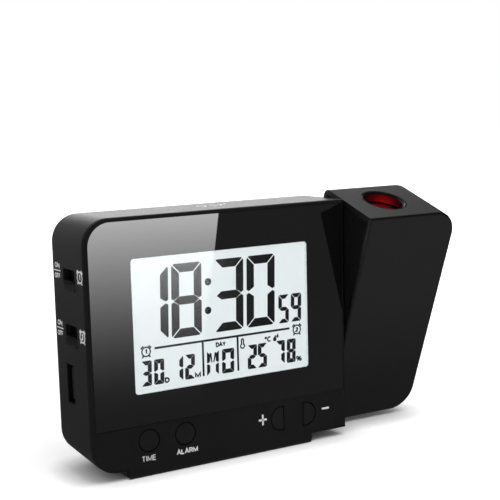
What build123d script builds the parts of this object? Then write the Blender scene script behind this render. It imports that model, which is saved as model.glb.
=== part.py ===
from build123d import *
from math import cos, radians, sin
import os

# Projection alarm clock. Millimetres. +Z up, the front faces -Y, and the projector arm is at +X.
# The origin is on the table, under the middle of the body.

os.makedirs("parts", exist_ok=True)

# ------------------------------------------------------------------ driving dimensions: body shell
window_width = 70.6
window_side = 16.7            # from each end of the body to the window
body_width = window_width + 2 * window_side
body_height = 86.0
body_depth = 29.6
corner_radius = 9.3           # corners of the end away from the arm
edge_round = 1.1              # round along the front edges of the body and the arm
rear_round = 4.5              # round along the rear edge of the body
underside_rise = 2.6          # how much higher the underside is at the back than behind the seam
wall = 2.0
foot_height = 2.8
foot_left = -39.0
foot_right = 36.0
foot_depth = 27.0
foot_corner = 0.8
foot_wall = 1.8
pad_width = 66.0
pad_depth = 20.0
pad_thickness = 1.0
pad_proud = 0.2
pad_corner = 3.0

# Seam between the front frame and the rear housing
rim_depth = 2.2
lip_depth = 4.2
lip_clearance = 0.15
lip_thickness = 1.0

# Front panel, display window and parting line
panel_thickness = 1.5
panel_inset = 1.15
panel_gap = 0.13
floor_thickness = 1.5
parting_height = 14.9         # above the underside of the body
window_height = 46.1
window_corner = 1.2
window_gap = 0.03
display_x = -0.3
display_height = 48.95        # middle of the window above the underside of the body
strip_thickness = 2.0
strip_step = 0.5              # how far the thin back of the strip stays below the parting line

# Display stack behind the window
lcd_border = 3.0
lcd_thickness = 2.0
lcd_clearance = 0.15
guide_thickness = 2.4
guide_foot = 4.0              # how much shorter the light guide is at the rubber connector
guide_head = 2.4              # how much shorter it is at the lamps
holder_wall = 1.8
holder_floor = 1.0
stack_gap = 0.05
connector_width = 66.0
connector_thickness = 2.0
backlight_count = 3
backlight_pitch = 22.0
backlight_size = (3.2, 1.4, 1.8)

# Circuit boards
board_thickness = 1.6
board_end_clearance = 1.9     # from the board's ends to the switch knobs' flanges
main_board_bottom = 19.0
main_board_top = 77.0
board_notch_clearance = 1.1   # round the end of the pivot hub
board_notch_half_height = 12.0
board_post_inset = 2.75
board_post_heights = (34.0, 68.0)
lower_post = (30.0, 21.3)
post_radius = 2.0
board_screw_radius = 0.9
board_screw_length = 3.0
board_screw_head = 1.9
board_screw_head_height = 1.2
chip_radius = 6.0
chip_height = 1.8
chip_place = (-6.0, 58.0)
beeper_radius = 6.0
beeper_height = 6.5
beeper_place = (20.0, 32.0)
beeper_hole = 1.1
beeper_chamfer = 0.5
sensor_size = (5.0, 5.0, 1.6)
sensor_place = (4.0, 30.0)
grille_hole = 0.8
grille_pitch = 3.0

# Buttons in the strip
button_radius = 3.8
button_gap = 0.3
button_round = 0.45
button_proud = 0.15
button_height = 9.45          # middle of the round buttons above the underside of the body
time_x = -31.2
alarm_x = -17.1
half_button_radius = 4.2
half_button_height = 8.2
half_button_flat = 1.1        # flat edge beyond the middle of the half-round
plus_x = 22.6
minus_x = 33.5
flange_width = 0.7
flange_thickness = 1.0
flange_gap = 0.1
button_travel = 0.6
stem_radius = 1.5
stem_length = 1.0
plunger_radius = 1.6
plunger_gap = 0.05
plunger_clearance = 0.08
plunger_height = 0.85
plunger_root = 1.2
key_size = 6.0
key_height = 3.4
key_board_thickness = 1.2
key_board_width = 77.0
key_board_bottom = 5.8
key_board_top = 15.5
key_posts = [(-24.15, 11.5), (2.0, 11.5), (28.05, 11.5)]

# Slide switches in the left wall
switch_depth = 13.1           # middle of the windows behind the front face
switch_window_width = 9.2
switch_window_height = 7.4
alarm_1_height = 65.1         # middle of the windows above the underside of the body
alarm_2_height = 46.2
knob_height = 3.6
knob_gap = 0.1
knob_proud = 0.3
knob_corner = 0.8
knob_hollow = 0.3             # depth of the finger hollow across the face
knob_flange_thickness = 1.0
knob_flange_margin = 0.8
knob_stub_width = 1.6
knob_stub_height = 2.0
knob_stub_length = 2.0
switch_body_width = 4.0
switch_body_length = 9.4
switch_body_height = 3.5
switch_board_back = 22.0
switch_board_bottom = 42.0
switch_board_top = 75.0

# USB-A charging socket in the left wall
usb_depth = 15.6
usb_height = 29.3
usb_opening_width = 5.1       # across the wall
usb_opening_height = 13.1
usb_wall = 0.3
usb_length = 14.0
usb_recess = 0.3
usb_gap = 0.1
usb_tongue_thickness = 1.84
usb_tongue_width = 11.0
usb_tongue_recess = 1.0
usb_back_wall = 2.0

# Power board and inlet at the back
power_board_inset = 5.0       # from the body's end face
power_board_width = 25.0
power_board_bottom = 16.0
power_board_top = 41.0
power_post_inset = 4.0
power_post_heights = (20.0, 36.5)
inlet_inset = 16.0            # from the power board's end
inlet_height = 21.5
inlet_size = 9.0
inlet_nose_radius = 3.6
inlet_bore_radius = 2.75
inlet_bore_depth = 7.5
inlet_pin_radius = 1.0
inlet_pin_recess = 1.5
inlet_gap = 0.1

# Battery bay in the back
cell_radius = 5.25
cell_length = 43.7
cell_nub_radius = 1.9
cell_nub_length = 0.8
cell_gap = 0.4
contact_room = 3.0            # at each end of a cell
bay_x = 2.0
bay_height = 59.0             # middle of the bay above the underside of the body
bay_wall = 1.5
bay_end_gap = 0.1
contact_thickness = 0.4
contact_width = 7.0
contact_lip = 1.0
door_thickness = 1.55
door_ledge = 1.2
door_gap = 0.15
door_corner = 1.5
door_tab_width = 6.0
door_tab_thickness = 0.9
door_tab_reach = 1.3
door_tab_depth = 2.1
door_tab_pitch = 34.0
door_tab_room = 0.3
door_latch_width = 12.0
door_latch_depth = 0.5
door_rib_count = 4
door_rib_pitch = 1.5

# Screw posts of the body
screw_inset = 8.0
boss_radius = 3.0
boss_end = 12.0
rear_post_radius = 3.6
counterbore_radius = 2.6
counterbore_depth = 12.6
screw_radius = 1.1
screw_clearance = 0.25
screw_head_radius = 2.2
screw_head_height = 1.6
screw_length = 12.0
pilot_clearance = 0.02

# Touch spot under the top wall
touch_x = 6.0
touch_width = 18.0
touch_depth = 12.0
touch_thickness = 0.3
touch_lead_width = 3.0

# Pivot between the body and the arm
pivot_height = 37.8           # above the underside of the body
hub_radius = 5.0
hub_bore_radius = 3.2
hub_inward = 9.4              # from the body's end face
hub_flange_radius = 10.0
hub_flange_thickness = 2.0
hub_screw_ring_radius = 7.6
hub_screw_count = 3
running_gap = 0.05
bush_radius = 7.0
bush_flange_radius = 9.0
bush_flange_thickness = 1.1
bush_inward = 6.0
bush_proud = 0.3
washer_thickness = 0.5
washer_cone = 0.4
clip_thickness = 0.7
clip_radius = 7.2
clip_groove_depth = 0.7
clip_mouth = 7.0

# Projector arm, described upright and measured from the pivot axis
arm_gap = 0.4
arm_width = 41.0
arm_length = 86.0
arm_rise = 1.6                # upright, the arm stands this much above the body
arm_corner_radius = 9.4
arm_rear_round = 2.8
arm_tilt = 19.8               # degrees that the arm leans forward at rest
cover_gap = 0.12
lug_size = (7.6, 6.4, 8.0)
lug_heights = (-22.0, 26.0)
arm_screw_length = 8.0

# Projector inside the arm
lens_offset = 16.6            # lens axis from the arm's inner face
ring_radius = 8.4
ring_gap = 0.3
ring_bore_radius = 7.4
ring_chamfer = 0.8
ring_flange_radius = 9.6
ring_flange_thickness = 1.1
collar_wall = 1.5
collar_depth = 4.0
helix_clearance = 0.08
barrel_top = 4.2              # below the top of the arm
barrel_length = 11.0
barrel_bore_radius = 6.3
barrel_seat = 5.0
lens_radius = 6.2
lens_edge = 1.2
lens_bulge = 1.3
tube_radius = 9.2
tube_gap = 0.1
tube_bottom = 11.0
saddle_thickness = 2.0
saddle_width = 21.0
saddle_heights = (13.5, 34.0)
saddle_gap = 0.1
cell_plate = (11.0, 9.0, 1.4)
cell_plate_height = 28.0
condenser_radius = 7.2
condenser_height = 19.0
condenser_edge = 1.0
condenser_bulge = 2.4
seat_ring_thickness = 1.2
seat_ring_bore = 5.4
lamp_board_size = (20.0, 18.0)
led_radius = 2.5
led_base_radius = 3.2
led_base_height = 1.0
led_height = 3.6
cable_radius = 1.5
cable_bend = 6.0

# ------------------------------------------------------------------ places that follow from them
left_x = -body_width / 2
right_x = body_width / 2
body_bottom = foot_height + pad_proud
body_top = body_bottom + body_height
body_middle = body_bottom + body_height / 2
parting_z = body_bottom + parting_height
display_z = body_bottom + display_height
floor_depth = panel_thickness + floor_thickness
lcd_width = window_width + 2 * lcd_border
lcd_height = window_height + 2 * lcd_border
lcd_front = panel_thickness + stack_gap
lcd_back = lcd_front + lcd_thickness
guide_front = lcd_back + stack_gap
guide_back = guide_front + guide_thickness
holder_back = guide_back + stack_gap + holder_floor
board_front = holder_back + stack_gap
board_back = board_front + board_thickness
back_inside = body_depth - wall
pivot_z = body_bottom + pivot_height
round_z = body_bottom + button_height
half_z = body_bottom + half_button_height
screw_places = [
    (left_x + screw_inset, body_bottom + screw_inset),
    (left_x + screw_inset, body_top - screw_inset),
    (right_x - screw_inset, body_bottom + screw_inset),
    (right_x - screw_inset, body_top - screw_inset),
]
bush_inner_end = right_x - bush_inward
hub_inner_end = right_x - hub_inward
main_board_width = body_width - 2 * (wall + knob_gap + knob_flange_thickness + board_end_clearance)
board_notch_width = main_board_width / 2 - hub_inner_end + board_notch_clearance
main_posts = [
    (-main_board_width / 2 + board_post_inset, board_post_heights[0]),
    (main_board_width / 2 - board_post_inset, board_post_heights[1]),
    lower_post,
]
power_board_left = left_x + power_board_inset
power_board_right = power_board_left + power_board_width
power_posts = [
    (power_board_left + power_post_inset, power_post_heights[0]),
    (power_board_right - power_post_inset, power_post_heights[1]),
]
inlet_place = (power_board_left + inlet_inset, inlet_height)
arm_left = right_x + arm_gap
arm_bottom = arm_rise - pivot_height
arm_top = arm_bottom + arm_length
arm_middle = (arm_bottom + arm_top) / 2
lens_x = arm_left + lens_offset


# ------------------------------------------------------------------ planes and shared outlines
def across(depth):
    """Plane across the body, facing the viewer, at a depth behind the front face."""
    return Plane.XZ.offset(body_depth / 2 - depth)


def side(x):
    """Plane along the body's end walls; its own axes are Y and Z."""
    return Plane.YZ.offset(x)


arm_frame = Plane(
    origin=(0, 0, pivot_z),
    x_dir=(1, 0, 0),
    z_dir=(0, -sin(radians(arm_tilt)), cos(radians(arm_tilt))),
)


def arm_level(height):
    """Plane across the arm at a height above the pivot axis."""
    return arm_frame.offset(height)


def arm_across(depth):
    """Plane facing the arm's front at a depth behind the pivot axis."""
    origin = arm_frame.from_local_coords(Vector(0, depth, 0))
    return Plane(origin=origin, x_dir=arm_frame.x_dir, z_dir=-arm_frame.y_dir)


def arm_side(x):
    """Plane along the arm's side cover; its own axes are the arm's depth and height."""
    origin = arm_frame.from_local_coords(Vector(x, 0, 0))
    return Plane(origin=origin, x_dir=arm_frame.y_dir, z_dir=arm_frame.x_dir)


pivot_axis = Axis((0, 0, pivot_z), (1, 0, 0))
lens_axis = Axis(arm_frame.from_local_coords(Vector(lens_x, 0, 0)), arm_frame.z_dir)
arm_depth_axis = Axis((0, 0, pivot_z), arm_frame.y_dir)


def body_outline(inset=0.0, rise=0.0):
    """The body from the front, round at the free end, with its underside raised by rise."""
    with BuildSketch(mode=Mode.PRIVATE) as outline:
        with Locations((0, body_middle + rise / 2)):
            Rectangle(body_width - 2 * inset, body_height - 2 * inset - rise)
        fillet(outline.vertices().group_by(Axis.X)[0], corner_radius - inset)
    return outline.sketch


def foot_outline(reach=0.0):
    """The foot from the front, reaching up over the rounded edge of the body, or further."""
    with BuildSketch(mode=Mode.PRIVATE) as outline:
        with Locations(((foot_left + foot_right) / 2, pad_proud)):
            Rectangle(
                foot_right - foot_left,
                foot_height + edge_round + reach,
                align=(Align.CENTER, Align.MIN),
            )
        fillet(outline.vertices().group_by(Axis.Y)[0], foot_corner)
    return outline.sketch


def panel_outline(clearance):
    """The glossy panel: the body's outline inside the rounded rim, above the parting line."""
    with BuildSketch(mode=Mode.PRIVATE) as outline:
        add(body_outline(panel_inset + clearance))
        with Locations((0, parting_z + clearance)):
            Rectangle(body_width, body_height, align=(Align.CENTER, Align.MIN), mode=Mode.INTERSECT)
    return outline.sketch


def half_round(radius, flat, mirrored=False):
    """A half-round with its flat edge beyond the middle; mirrored puts the flat at the left."""
    turn = -1 if mirrored else 1
    with BuildSketch(mode=Mode.PRIVATE) as outline:
        Circle(radius)
        with Locations((turn * flat, 0)):
            Rectangle(
                2 * radius,
                2 * radius,
                align=(Align.MIN if mirrored else Align.MAX, Align.CENTER),
                mode=Mode.INTERSECT,
            )
        with Locations((0, 0)):
            Rectangle(
                flat,
                2 * radius,
                align=(Align.MAX if mirrored else Align.MIN, Align.CENTER),
            )
    return outline.sketch


def round_outline(grow):
    """A round button's outline, grown all round."""
    with BuildSketch(mode=Mode.PRIVATE) as outline:
        Circle(button_radius + grow)
    return outline.sketch


def plus_outline(grow):
    """The plus button's outline, grown all round."""
    return half_round(half_button_radius + grow, half_button_flat + grow)


def minus_outline(grow):
    """The minus button's outline, grown all round."""
    return half_round(half_button_radius + grow, half_button_flat + grow, mirrored=True)


# Each button: node name, place on the strip, outline
buttons = [
    ("time_button", (time_x, round_z), round_outline),
    ("alarm_button", (alarm_x, round_z), round_outline),
    ("plus_button", (plus_x, half_z), plus_outline),
    ("minus_button", (minus_x, half_z), minus_outline),
]
flange_front = strip_thickness + flange_gap
stem_end = flange_front + flange_thickness + stem_length
plunger_front = stem_end + plunger_gap
key_front = plunger_front + plunger_height
key_board_front = key_front + key_height
key_board_back = key_board_front + key_board_thickness

switch_windows = {
    "alarm_1": body_bottom + alarm_1_height,
    "alarm_2": body_bottom + alarm_2_height,
}
switch_y = switch_depth - body_depth / 2
switch_body_x = left_x + wall + knob_gap + knob_flange_thickness + knob_gap
switch_board_x = switch_body_x + switch_body_height

usb_y = usb_depth - body_depth / 2
usb_z = body_bottom + usb_height
usb_outer_width = usb_opening_width + 2 * usb_wall
usb_outer_height = usb_opening_height + 2 * usb_wall
power_board_front = usb_depth + usb_outer_width / 2 + stack_gap
power_board_back = power_board_front + board_thickness

bay_z = body_bottom + bay_height
bay_width = cell_length + cell_nub_length + 2 * contact_room
bay_span = 4 * cell_radius + 3 * cell_gap
cell_pitch = 2 * cell_radius + cell_gap
ledge_depth = body_depth - door_thickness - stack_gap
cell_depth = ledge_depth - cell_gap - cell_radius
bay_floor = cell_depth - cell_radius - cell_gap
door_width = bay_width + 2 * door_ledge
door_height = bay_span + 2 * door_ledge
door_bottom = bay_z - door_height / 2

# ------------------------------------------------------------------ front frame
with BuildPart() as front_frame:
    with BuildSketch(across(rim_depth)):
        add(body_outline())
    extrude(amount=rim_depth)
    fillet(front_frame.faces().sort_by(Axis.Y)[0].edges(), edge_round)
    # front of the foot
    with BuildSketch(across(rim_depth)):
        add(foot_outline())
    extrude(amount=rim_depth)
    # lip that locates the rear housing
    with BuildSketch(across(lip_depth)):
        add(body_outline(wall + lip_clearance))
    extrude(amount=lip_depth - rim_depth)
    with BuildSketch(across(lip_depth)):
        add(body_outline(wall + lip_clearance + lip_thickness))
    extrude(amount=lip_depth - floor_depth, mode=Mode.SUBTRACT)
    # thinner wall behind the button strip
    with BuildSketch(across(floor_depth)):
        add(body_outline(wall + lip_clearance + lip_thickness))
        with Locations((0, parting_z - strip_step)):
            Rectangle(body_width, body_height, align=(Align.CENTER, Align.MAX), mode=Mode.INTERSECT)
    extrude(amount=floor_depth - strip_thickness, mode=Mode.SUBTRACT)
    # seat of the panel, and the opening that holds the display
    with BuildSketch(across(panel_thickness)):
        add(panel_outline(0))
    extrude(amount=panel_thickness, mode=Mode.SUBTRACT)
    with BuildSketch(across(floor_depth)):
        with Locations((display_x, display_z)):
            Rectangle(lcd_width + 2 * lcd_clearance, lcd_height + 2 * lcd_clearance)
    extrude(amount=floor_thickness, mode=Mode.SUBTRACT)
    # button holes
    with BuildSketch(across(strip_thickness)):
        for _, place, outline in buttons:
            with Locations(place):
                add(outline(button_gap))
    extrude(amount=strip_thickness, mode=Mode.SUBTRACT)
    # bosses for the housing screws, posts for the boards
    with BuildSketch(across(boss_end)):
        with Locations(*screw_places):
            Circle(boss_radius)
    extrude(amount=boss_end - strip_thickness)
    with BuildSketch(across(board_front)):
        with Locations(*main_posts):
            Circle(post_radius)
    extrude(amount=board_front - panel_thickness)
    with BuildSketch(across(key_board_front)):
        with Locations(*key_posts):
            Circle(post_radius)
    extrude(amount=key_board_front - strip_thickness)
    # pilot holes
    with BuildSketch(across(boss_end)):
        with Locations(*screw_places):
            Circle(screw_radius + pilot_clearance)
    extrude(amount=boss_end - strip_thickness - wall / 2, mode=Mode.SUBTRACT)
    with BuildSketch(across(board_front)):
        with Locations(*main_posts):
            Circle(board_screw_radius + pilot_clearance)
    extrude(amount=board_screw_length, mode=Mode.SUBTRACT)
    with BuildSketch(across(key_board_front)):
        with Locations(*key_posts):
            Circle(board_screw_radius + pilot_clearance)
    extrude(amount=board_screw_length, mode=Mode.SUBTRACT)
front_frame.part.label = "front_frame"

# ------------------------------------------------------------------ rear housing
def housing_block(inset):
    """The rear housing's outer form, or its hollow when inset by the wall."""
    slope_start = lip_depth + lip_clearance
    slope = underside_rise / (body_depth - slope_start)
    with BuildPart(mode=Mode.PRIVATE) as block:
        with BuildSketch(across(slope_start)):
            add(body_outline(inset))
        extrude(amount=slope_start - rim_depth)
        with BuildSketch(across(body_depth - inset)):
            add(body_outline(inset, underside_rise - slope * inset))
        with BuildSketch(across(slope_start)):
            add(body_outline(inset))
        loft(ruled=True)
        rear_edges = block.faces().sort_by(Axis.Y)[-1].edges()
        fillet(rear_edges.sort_by(Axis.X)[:-1], rear_round - inset)
    return block.part


with BuildPart() as rear_housing:
    add(housing_block(0))
    # foot, up to the sloping underside, cored from above, with the seat of its pad
    with BuildSketch(across(foot_depth)):
        add(foot_outline(underside_rise))
    extrude(amount=foot_depth - rim_depth)
    add(housing_block(wall), mode=Mode.SUBTRACT)
    core_depth = foot_depth - rim_depth - 2 * foot_wall
    with BuildSketch(Plane.XY.offset(body_bottom + wall + underside_rise)):
        with Locations(((foot_left + foot_right) / 2, (rim_depth + foot_depth - body_depth) / 2)):
            with GridLocations((foot_right - foot_left) / 4, core_depth / 2, 4, 2):
                Rectangle((foot_right - foot_left) / 4 - foot_wall, core_depth / 2 - foot_wall)
    core_height = foot_height + wall + underside_rise - foot_wall - (pad_thickness - pad_proud)
    extrude(amount=-core_height, mode=Mode.SUBTRACT)
    with BuildSketch(Plane.XY.offset(pad_thickness)):
        RectangleRounded(pad_width, pad_depth, pad_corner)
    extrude(amount=-pad_thickness, mode=Mode.SUBTRACT)
    # screw posts
    with BuildSketch(across(back_inside)):
        with Locations(*screw_places):
            Circle(rear_post_radius)
    extrude(amount=back_inside - boss_end - stack_gap)
    with BuildSketch(across(body_depth)):
        with Locations(*screw_places):
            Circle(screw_radius + screw_clearance)
    extrude(amount=body_depth - boss_end, mode=Mode.SUBTRACT)
    with BuildSketch(across(body_depth)):
        with Locations(*screw_places):
            Circle(counterbore_radius)
    extrude(amount=counterbore_depth, mode=Mode.SUBTRACT)
    # posts of the power board
    with BuildSketch(across(back_inside)):
        with Locations(*power_posts):
            Circle(post_radius)
    extrude(amount=back_inside - power_board_back)
    with BuildSketch(across(power_board_back + board_screw_length)):
        with Locations(*power_posts):
            Circle(board_screw_radius + pilot_clearance)
    extrude(amount=board_screw_length, mode=Mode.SUBTRACT)
    # battery bay: a box with a ledge for the door and two slots for its tabs
    with BuildSketch(across(back_inside)):
        with Locations((bay_x, bay_z)):
            Rectangle(bay_width + 2 * bay_wall, bay_span + 2 * bay_wall)
    extrude(amount=back_inside - bay_floor + bay_wall)
    with BuildSketch(across(body_depth)):
        with Locations((bay_x, bay_z)):
            Rectangle(bay_width, bay_span)
    extrude(amount=body_depth - bay_floor, mode=Mode.SUBTRACT)
    with BuildSketch(across(body_depth)):
        with Locations((bay_x, bay_z)):
            RectangleRounded(door_width, door_height, door_corner)
    extrude(amount=body_depth - ledge_depth, mode=Mode.SUBTRACT)
    tab_slot_front = body_depth - door_tab_depth - door_tab_thickness - door_tab_room
    with BuildSketch(across(body_depth - door_tab_depth + stack_gap)):
        with Locations((bay_x, door_bottom - door_tab_reach - door_tab_room)):
            with GridLocations(door_tab_pitch, 0, 2, 1):
                Rectangle(
                    door_tab_width + 2 * door_tab_room,
                    door_tab_reach + door_tab_room + 2 * bay_wall,
                    align=(Align.CENTER, Align.MIN),
                )
    extrude(amount=body_depth - door_tab_depth + stack_gap - tab_slot_front, mode=Mode.SUBTRACT)
    with BuildSketch(across(body_depth - stack_gap)):
        with Locations((bay_x, door_bottom)):
            with GridLocations(door_tab_pitch, 0, 2, 1):
                Rectangle(
                    door_tab_width + 2 * door_tab_room,
                    2 * bay_wall,
                    align=(Align.CENTER, Align.MIN),
                )
    extrude(amount=body_depth - stack_gap - tab_slot_front, mode=Mode.SUBTRACT)
    # switch windows and the USB opening in the left wall
    with BuildSketch(side(left_x)):
        for window_z in switch_windows.values():
            with Locations((switch_y, window_z)):
                RectangleRounded(switch_window_width, switch_window_height, wall / 4)
        with Locations((usb_y, usb_z)):
            Rectangle(usb_outer_width + 2 * usb_gap, usb_outer_height + 2 * usb_gap)
    extrude(amount=wall, mode=Mode.SUBTRACT)
    # power inlet, sound holes and pivot hole
    with BuildSketch(across(body_depth)):
        with Locations(inlet_place):
            Circle(inlet_nose_radius + inlet_gap)
        with Locations(beeper_place):
            with HexLocations(grille_pitch / 2, 3, 3):
                Circle(grille_hole)
    extrude(amount=wall, mode=Mode.SUBTRACT)
    with BuildSketch(side(right_x - wall)):
        with Locations((0, pivot_z)):
            Circle(bush_radius + running_gap)
    extrude(amount=wall, mode=Mode.SUBTRACT)
rear_housing.part.label = "rear_housing"

# ------------------------------------------------------------------ panel, window and foot pad
with BuildPart() as front_panel:
    with BuildSketch(across(panel_thickness)):
        add(panel_outline(panel_gap))
        with Locations((display_x, display_z)):
            RectangleRounded(window_width, window_height, window_corner, mode=Mode.SUBTRACT)
    extrude(amount=panel_thickness)
front_panel.part.label = "front_panel"

with BuildPart() as display_window:
    with BuildSketch(across(panel_thickness)):
        with Locations((display_x, display_z)):
            RectangleRounded(
                window_width - 2 * window_gap,
                window_height - 2 * window_gap,
                window_corner - window_gap,
            )
    extrude(amount=panel_thickness)
display_window.part.label = "display_window"

with BuildPart() as foot_pad:
    with BuildSketch():
        RectangleRounded(pad_width, pad_depth, pad_corner)
    extrude(amount=pad_thickness)
    fillet(foot_pad.faces().sort_by(Axis.Z)[0].edges(), pad_proud)
foot_pad.part.label = "foot_pad"

# ------------------------------------------------------------------ display stack
with BuildPart() as lcd_cell:
    with BuildSketch(across(lcd_back)):
        with Locations((display_x, display_z)):
            Rectangle(lcd_width, lcd_height)
    extrude(amount=lcd_thickness)
lcd_cell.part.label = "lcd_cell"

guide_bottom = display_z - lcd_height / 2 + guide_foot
guide_top = display_z + lcd_height / 2 - guide_head
with BuildPart() as light_guide:
    with BuildSketch(across(guide_back)):
        with Locations((display_x, (guide_bottom + guide_top) / 2)):
            Rectangle(lcd_width, guide_top - guide_bottom)
    extrude(amount=guide_thickness)
light_guide.part.label = "light_guide"

connector_z = (display_z - lcd_height / 2 + guide_bottom) / 2
with BuildPart() as lcd_holder:
    holder_width = lcd_width + 2 * (lcd_clearance + holder_wall)
    holder_height = lcd_height + 2 * (lcd_clearance + holder_wall)
    with BuildSketch(across(holder_back)):
        with Locations((display_x, display_z)):
            Rectangle(holder_width, holder_height)
    extrude(amount=holder_back - floor_depth)
    with BuildSketch(across(holder_back - holder_floor)):
        with Locations((display_x, display_z)):
            Rectangle(lcd_width + 2 * lcd_clearance, lcd_height + 2 * lcd_clearance)
    extrude(amount=holder_back - holder_floor - floor_depth, mode=Mode.SUBTRACT)
    with BuildSketch(across(holder_back)):
        with Locations((display_x, connector_z)):
            Rectangle(connector_width + 2 * lcd_clearance, connector_thickness + 2 * lcd_clearance)
    extrude(amount=holder_floor, mode=Mode.SUBTRACT)
lcd_holder.part.label = "lcd_holder"

with BuildPart() as lcd_connector:
    with BuildSketch(across(board_front)):
        with Locations((display_x, connector_z)):
            Rectangle(connector_width, connector_thickness)
    extrude(amount=board_front - lcd_back)
lcd_connector.part.label = "lcd_connector"

with BuildPart() as backlight_leds:
    led_width, led_thickness, led_rise = backlight_size
    with BuildSketch(across(guide_back)):
        with Locations((display_x, guide_top + stack_gap)):
            with GridLocations(backlight_pitch, 0, backlight_count, 1):
                Rectangle(led_width, led_rise, align=(Align.CENTER, Align.MIN))
    extrude(amount=led_thickness)
backlight_leds.part.label = "backlight_leds"

# ------------------------------------------------------------------ main board and what it carries
with BuildPart() as main_board:
    with BuildSketch(across(board_back)):
        with Locations((0, (main_board_bottom + main_board_top) / 2)):
            Rectangle(main_board_width, main_board_top - main_board_bottom)
        with Locations((main_board_width / 2, pivot_z)):
            Rectangle(
                board_notch_width,
                2 * board_notch_half_height,
                align=(Align.MAX, Align.CENTER),
                mode=Mode.SUBTRACT,
            )
        with Locations(*main_posts):
            Circle(board_screw_radius + screw_clearance, mode=Mode.SUBTRACT)
    extrude(amount=board_thickness)
main_board.part.label = "main_board"

with BuildPart() as controller_chip:
    with BuildSketch(Plane.XZ.offset(body_depth / 2 - board_back)):
        with Locations(chip_place):
            Circle(chip_radius)
    extrude(amount=-chip_height, taper=30)
controller_chip.part.label = "controller_chip"

with BuildPart() as beeper:
    with BuildSketch(across(board_back + beeper_height)):
        with Locations(beeper_place):
            Circle(beeper_radius)
    extrude(amount=beeper_height)
    chamfer(beeper.faces().sort_by(Axis.Y)[-1].edges(), beeper_chamfer)
    with BuildSketch(across(board_back + beeper_height)):
        with Locations(beeper_place):
            Circle(beeper_hole)
    extrude(amount=wall, mode=Mode.SUBTRACT)
beeper.part.label = "beeper"

with BuildPart() as climate_sensor:
    with BuildSketch(across(board_back + sensor_size[2])):
        with Locations(sensor_place):
            Rectangle(sensor_size[0], sensor_size[1])
            Circle(beeper_hole, mode=Mode.SUBTRACT)
    extrude(amount=sensor_size[2])
climate_sensor.part.label = "climate_sensor"

# ------------------------------------------------------------------ touch spot under the top wall
touch_top = body_top - wall
board_back_y = board_back - body_depth / 2
with BuildPart() as touch_plate:
    with BuildSketch(Plane.XY.offset(touch_top)):
        with Locations((touch_x, 0)):
            RectangleRounded(touch_width, touch_depth, wall)
    extrude(amount=-touch_thickness)
touch_plate.part.label = "touch_plate"

with BuildPart() as touch_lead:
    with BuildSketch(side(touch_x - touch_lead_width / 2)):
        with BuildLine():
            Polyline(
                (board_back_y, main_board_top - wall),
                (board_back_y, touch_top - touch_thickness),
                (0, touch_top - touch_thickness),
                (0, touch_top - 2 * touch_thickness),
                (board_back_y + touch_thickness, touch_top - 2 * touch_thickness),
                (board_back_y + touch_thickness, main_board_top - wall),
                close=True,
            )
        make_face()
    extrude(amount=touch_lead_width)
touch_lead.part.label = "touch_lead"

# ------------------------------------------------------------------ buttons, plungers, key switches
button_parts = []
plunger_parts = []
for node, place, outline in buttons:
    with BuildPart() as button:
        with BuildSketch(across(flange_front)):
            with Locations(place):
                add(outline(0))
        extrude(amount=flange_front + button_proud)
        fillet(button.faces().sort_by(Axis.Y)[0].edges(), button_round)
        with BuildSketch(across(flange_front + flange_thickness)):
            with Locations(place):
                add(outline(flange_width))
        extrude(amount=flange_thickness)
        with BuildSketch(across(stem_end)):
            with Locations(place):
                Circle(stem_radius)
        extrude(amount=stem_length)
    button.part.label = node
    button_parts.append(button)
    with BuildPart() as plunger:
        with BuildSketch(across(key_front + plunger_root)):
            with Locations(place):
                Circle(plunger_radius)
        extrude(amount=plunger_height + plunger_root)
    plunger.part.label = node.replace("button", "plunger")
    plunger_parts.append(plunger)

with BuildPart() as key_switches:
    with BuildSketch(across(key_board_front)):
        for _, place, _ in buttons:
            with Locations(place):
                Rectangle(key_size, key_size)
    extrude(amount=key_height)
    with BuildSketch(across(key_front + plunger_root + button_travel + plunger_gap)):
        for _, place, _ in buttons:
            with Locations(place):
                Circle(plunger_radius + plunger_clearance)
    extrude(amount=plunger_root + button_travel + plunger_gap, mode=Mode.SUBTRACT)
key_switches.part.label = "key_switches"

with BuildPart() as key_board:
    with BuildSketch(across(key_board_back)):
        with Locations((0, (key_board_bottom + key_board_top) / 2)):
            Rectangle(key_board_width, key_board_top - key_board_bottom)
        with Locations(*key_posts):
            Circle(board_screw_radius + screw_clearance, mode=Mode.SUBTRACT)
    extrude(amount=key_board_thickness)
key_board.part.label = "key_board"

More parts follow.
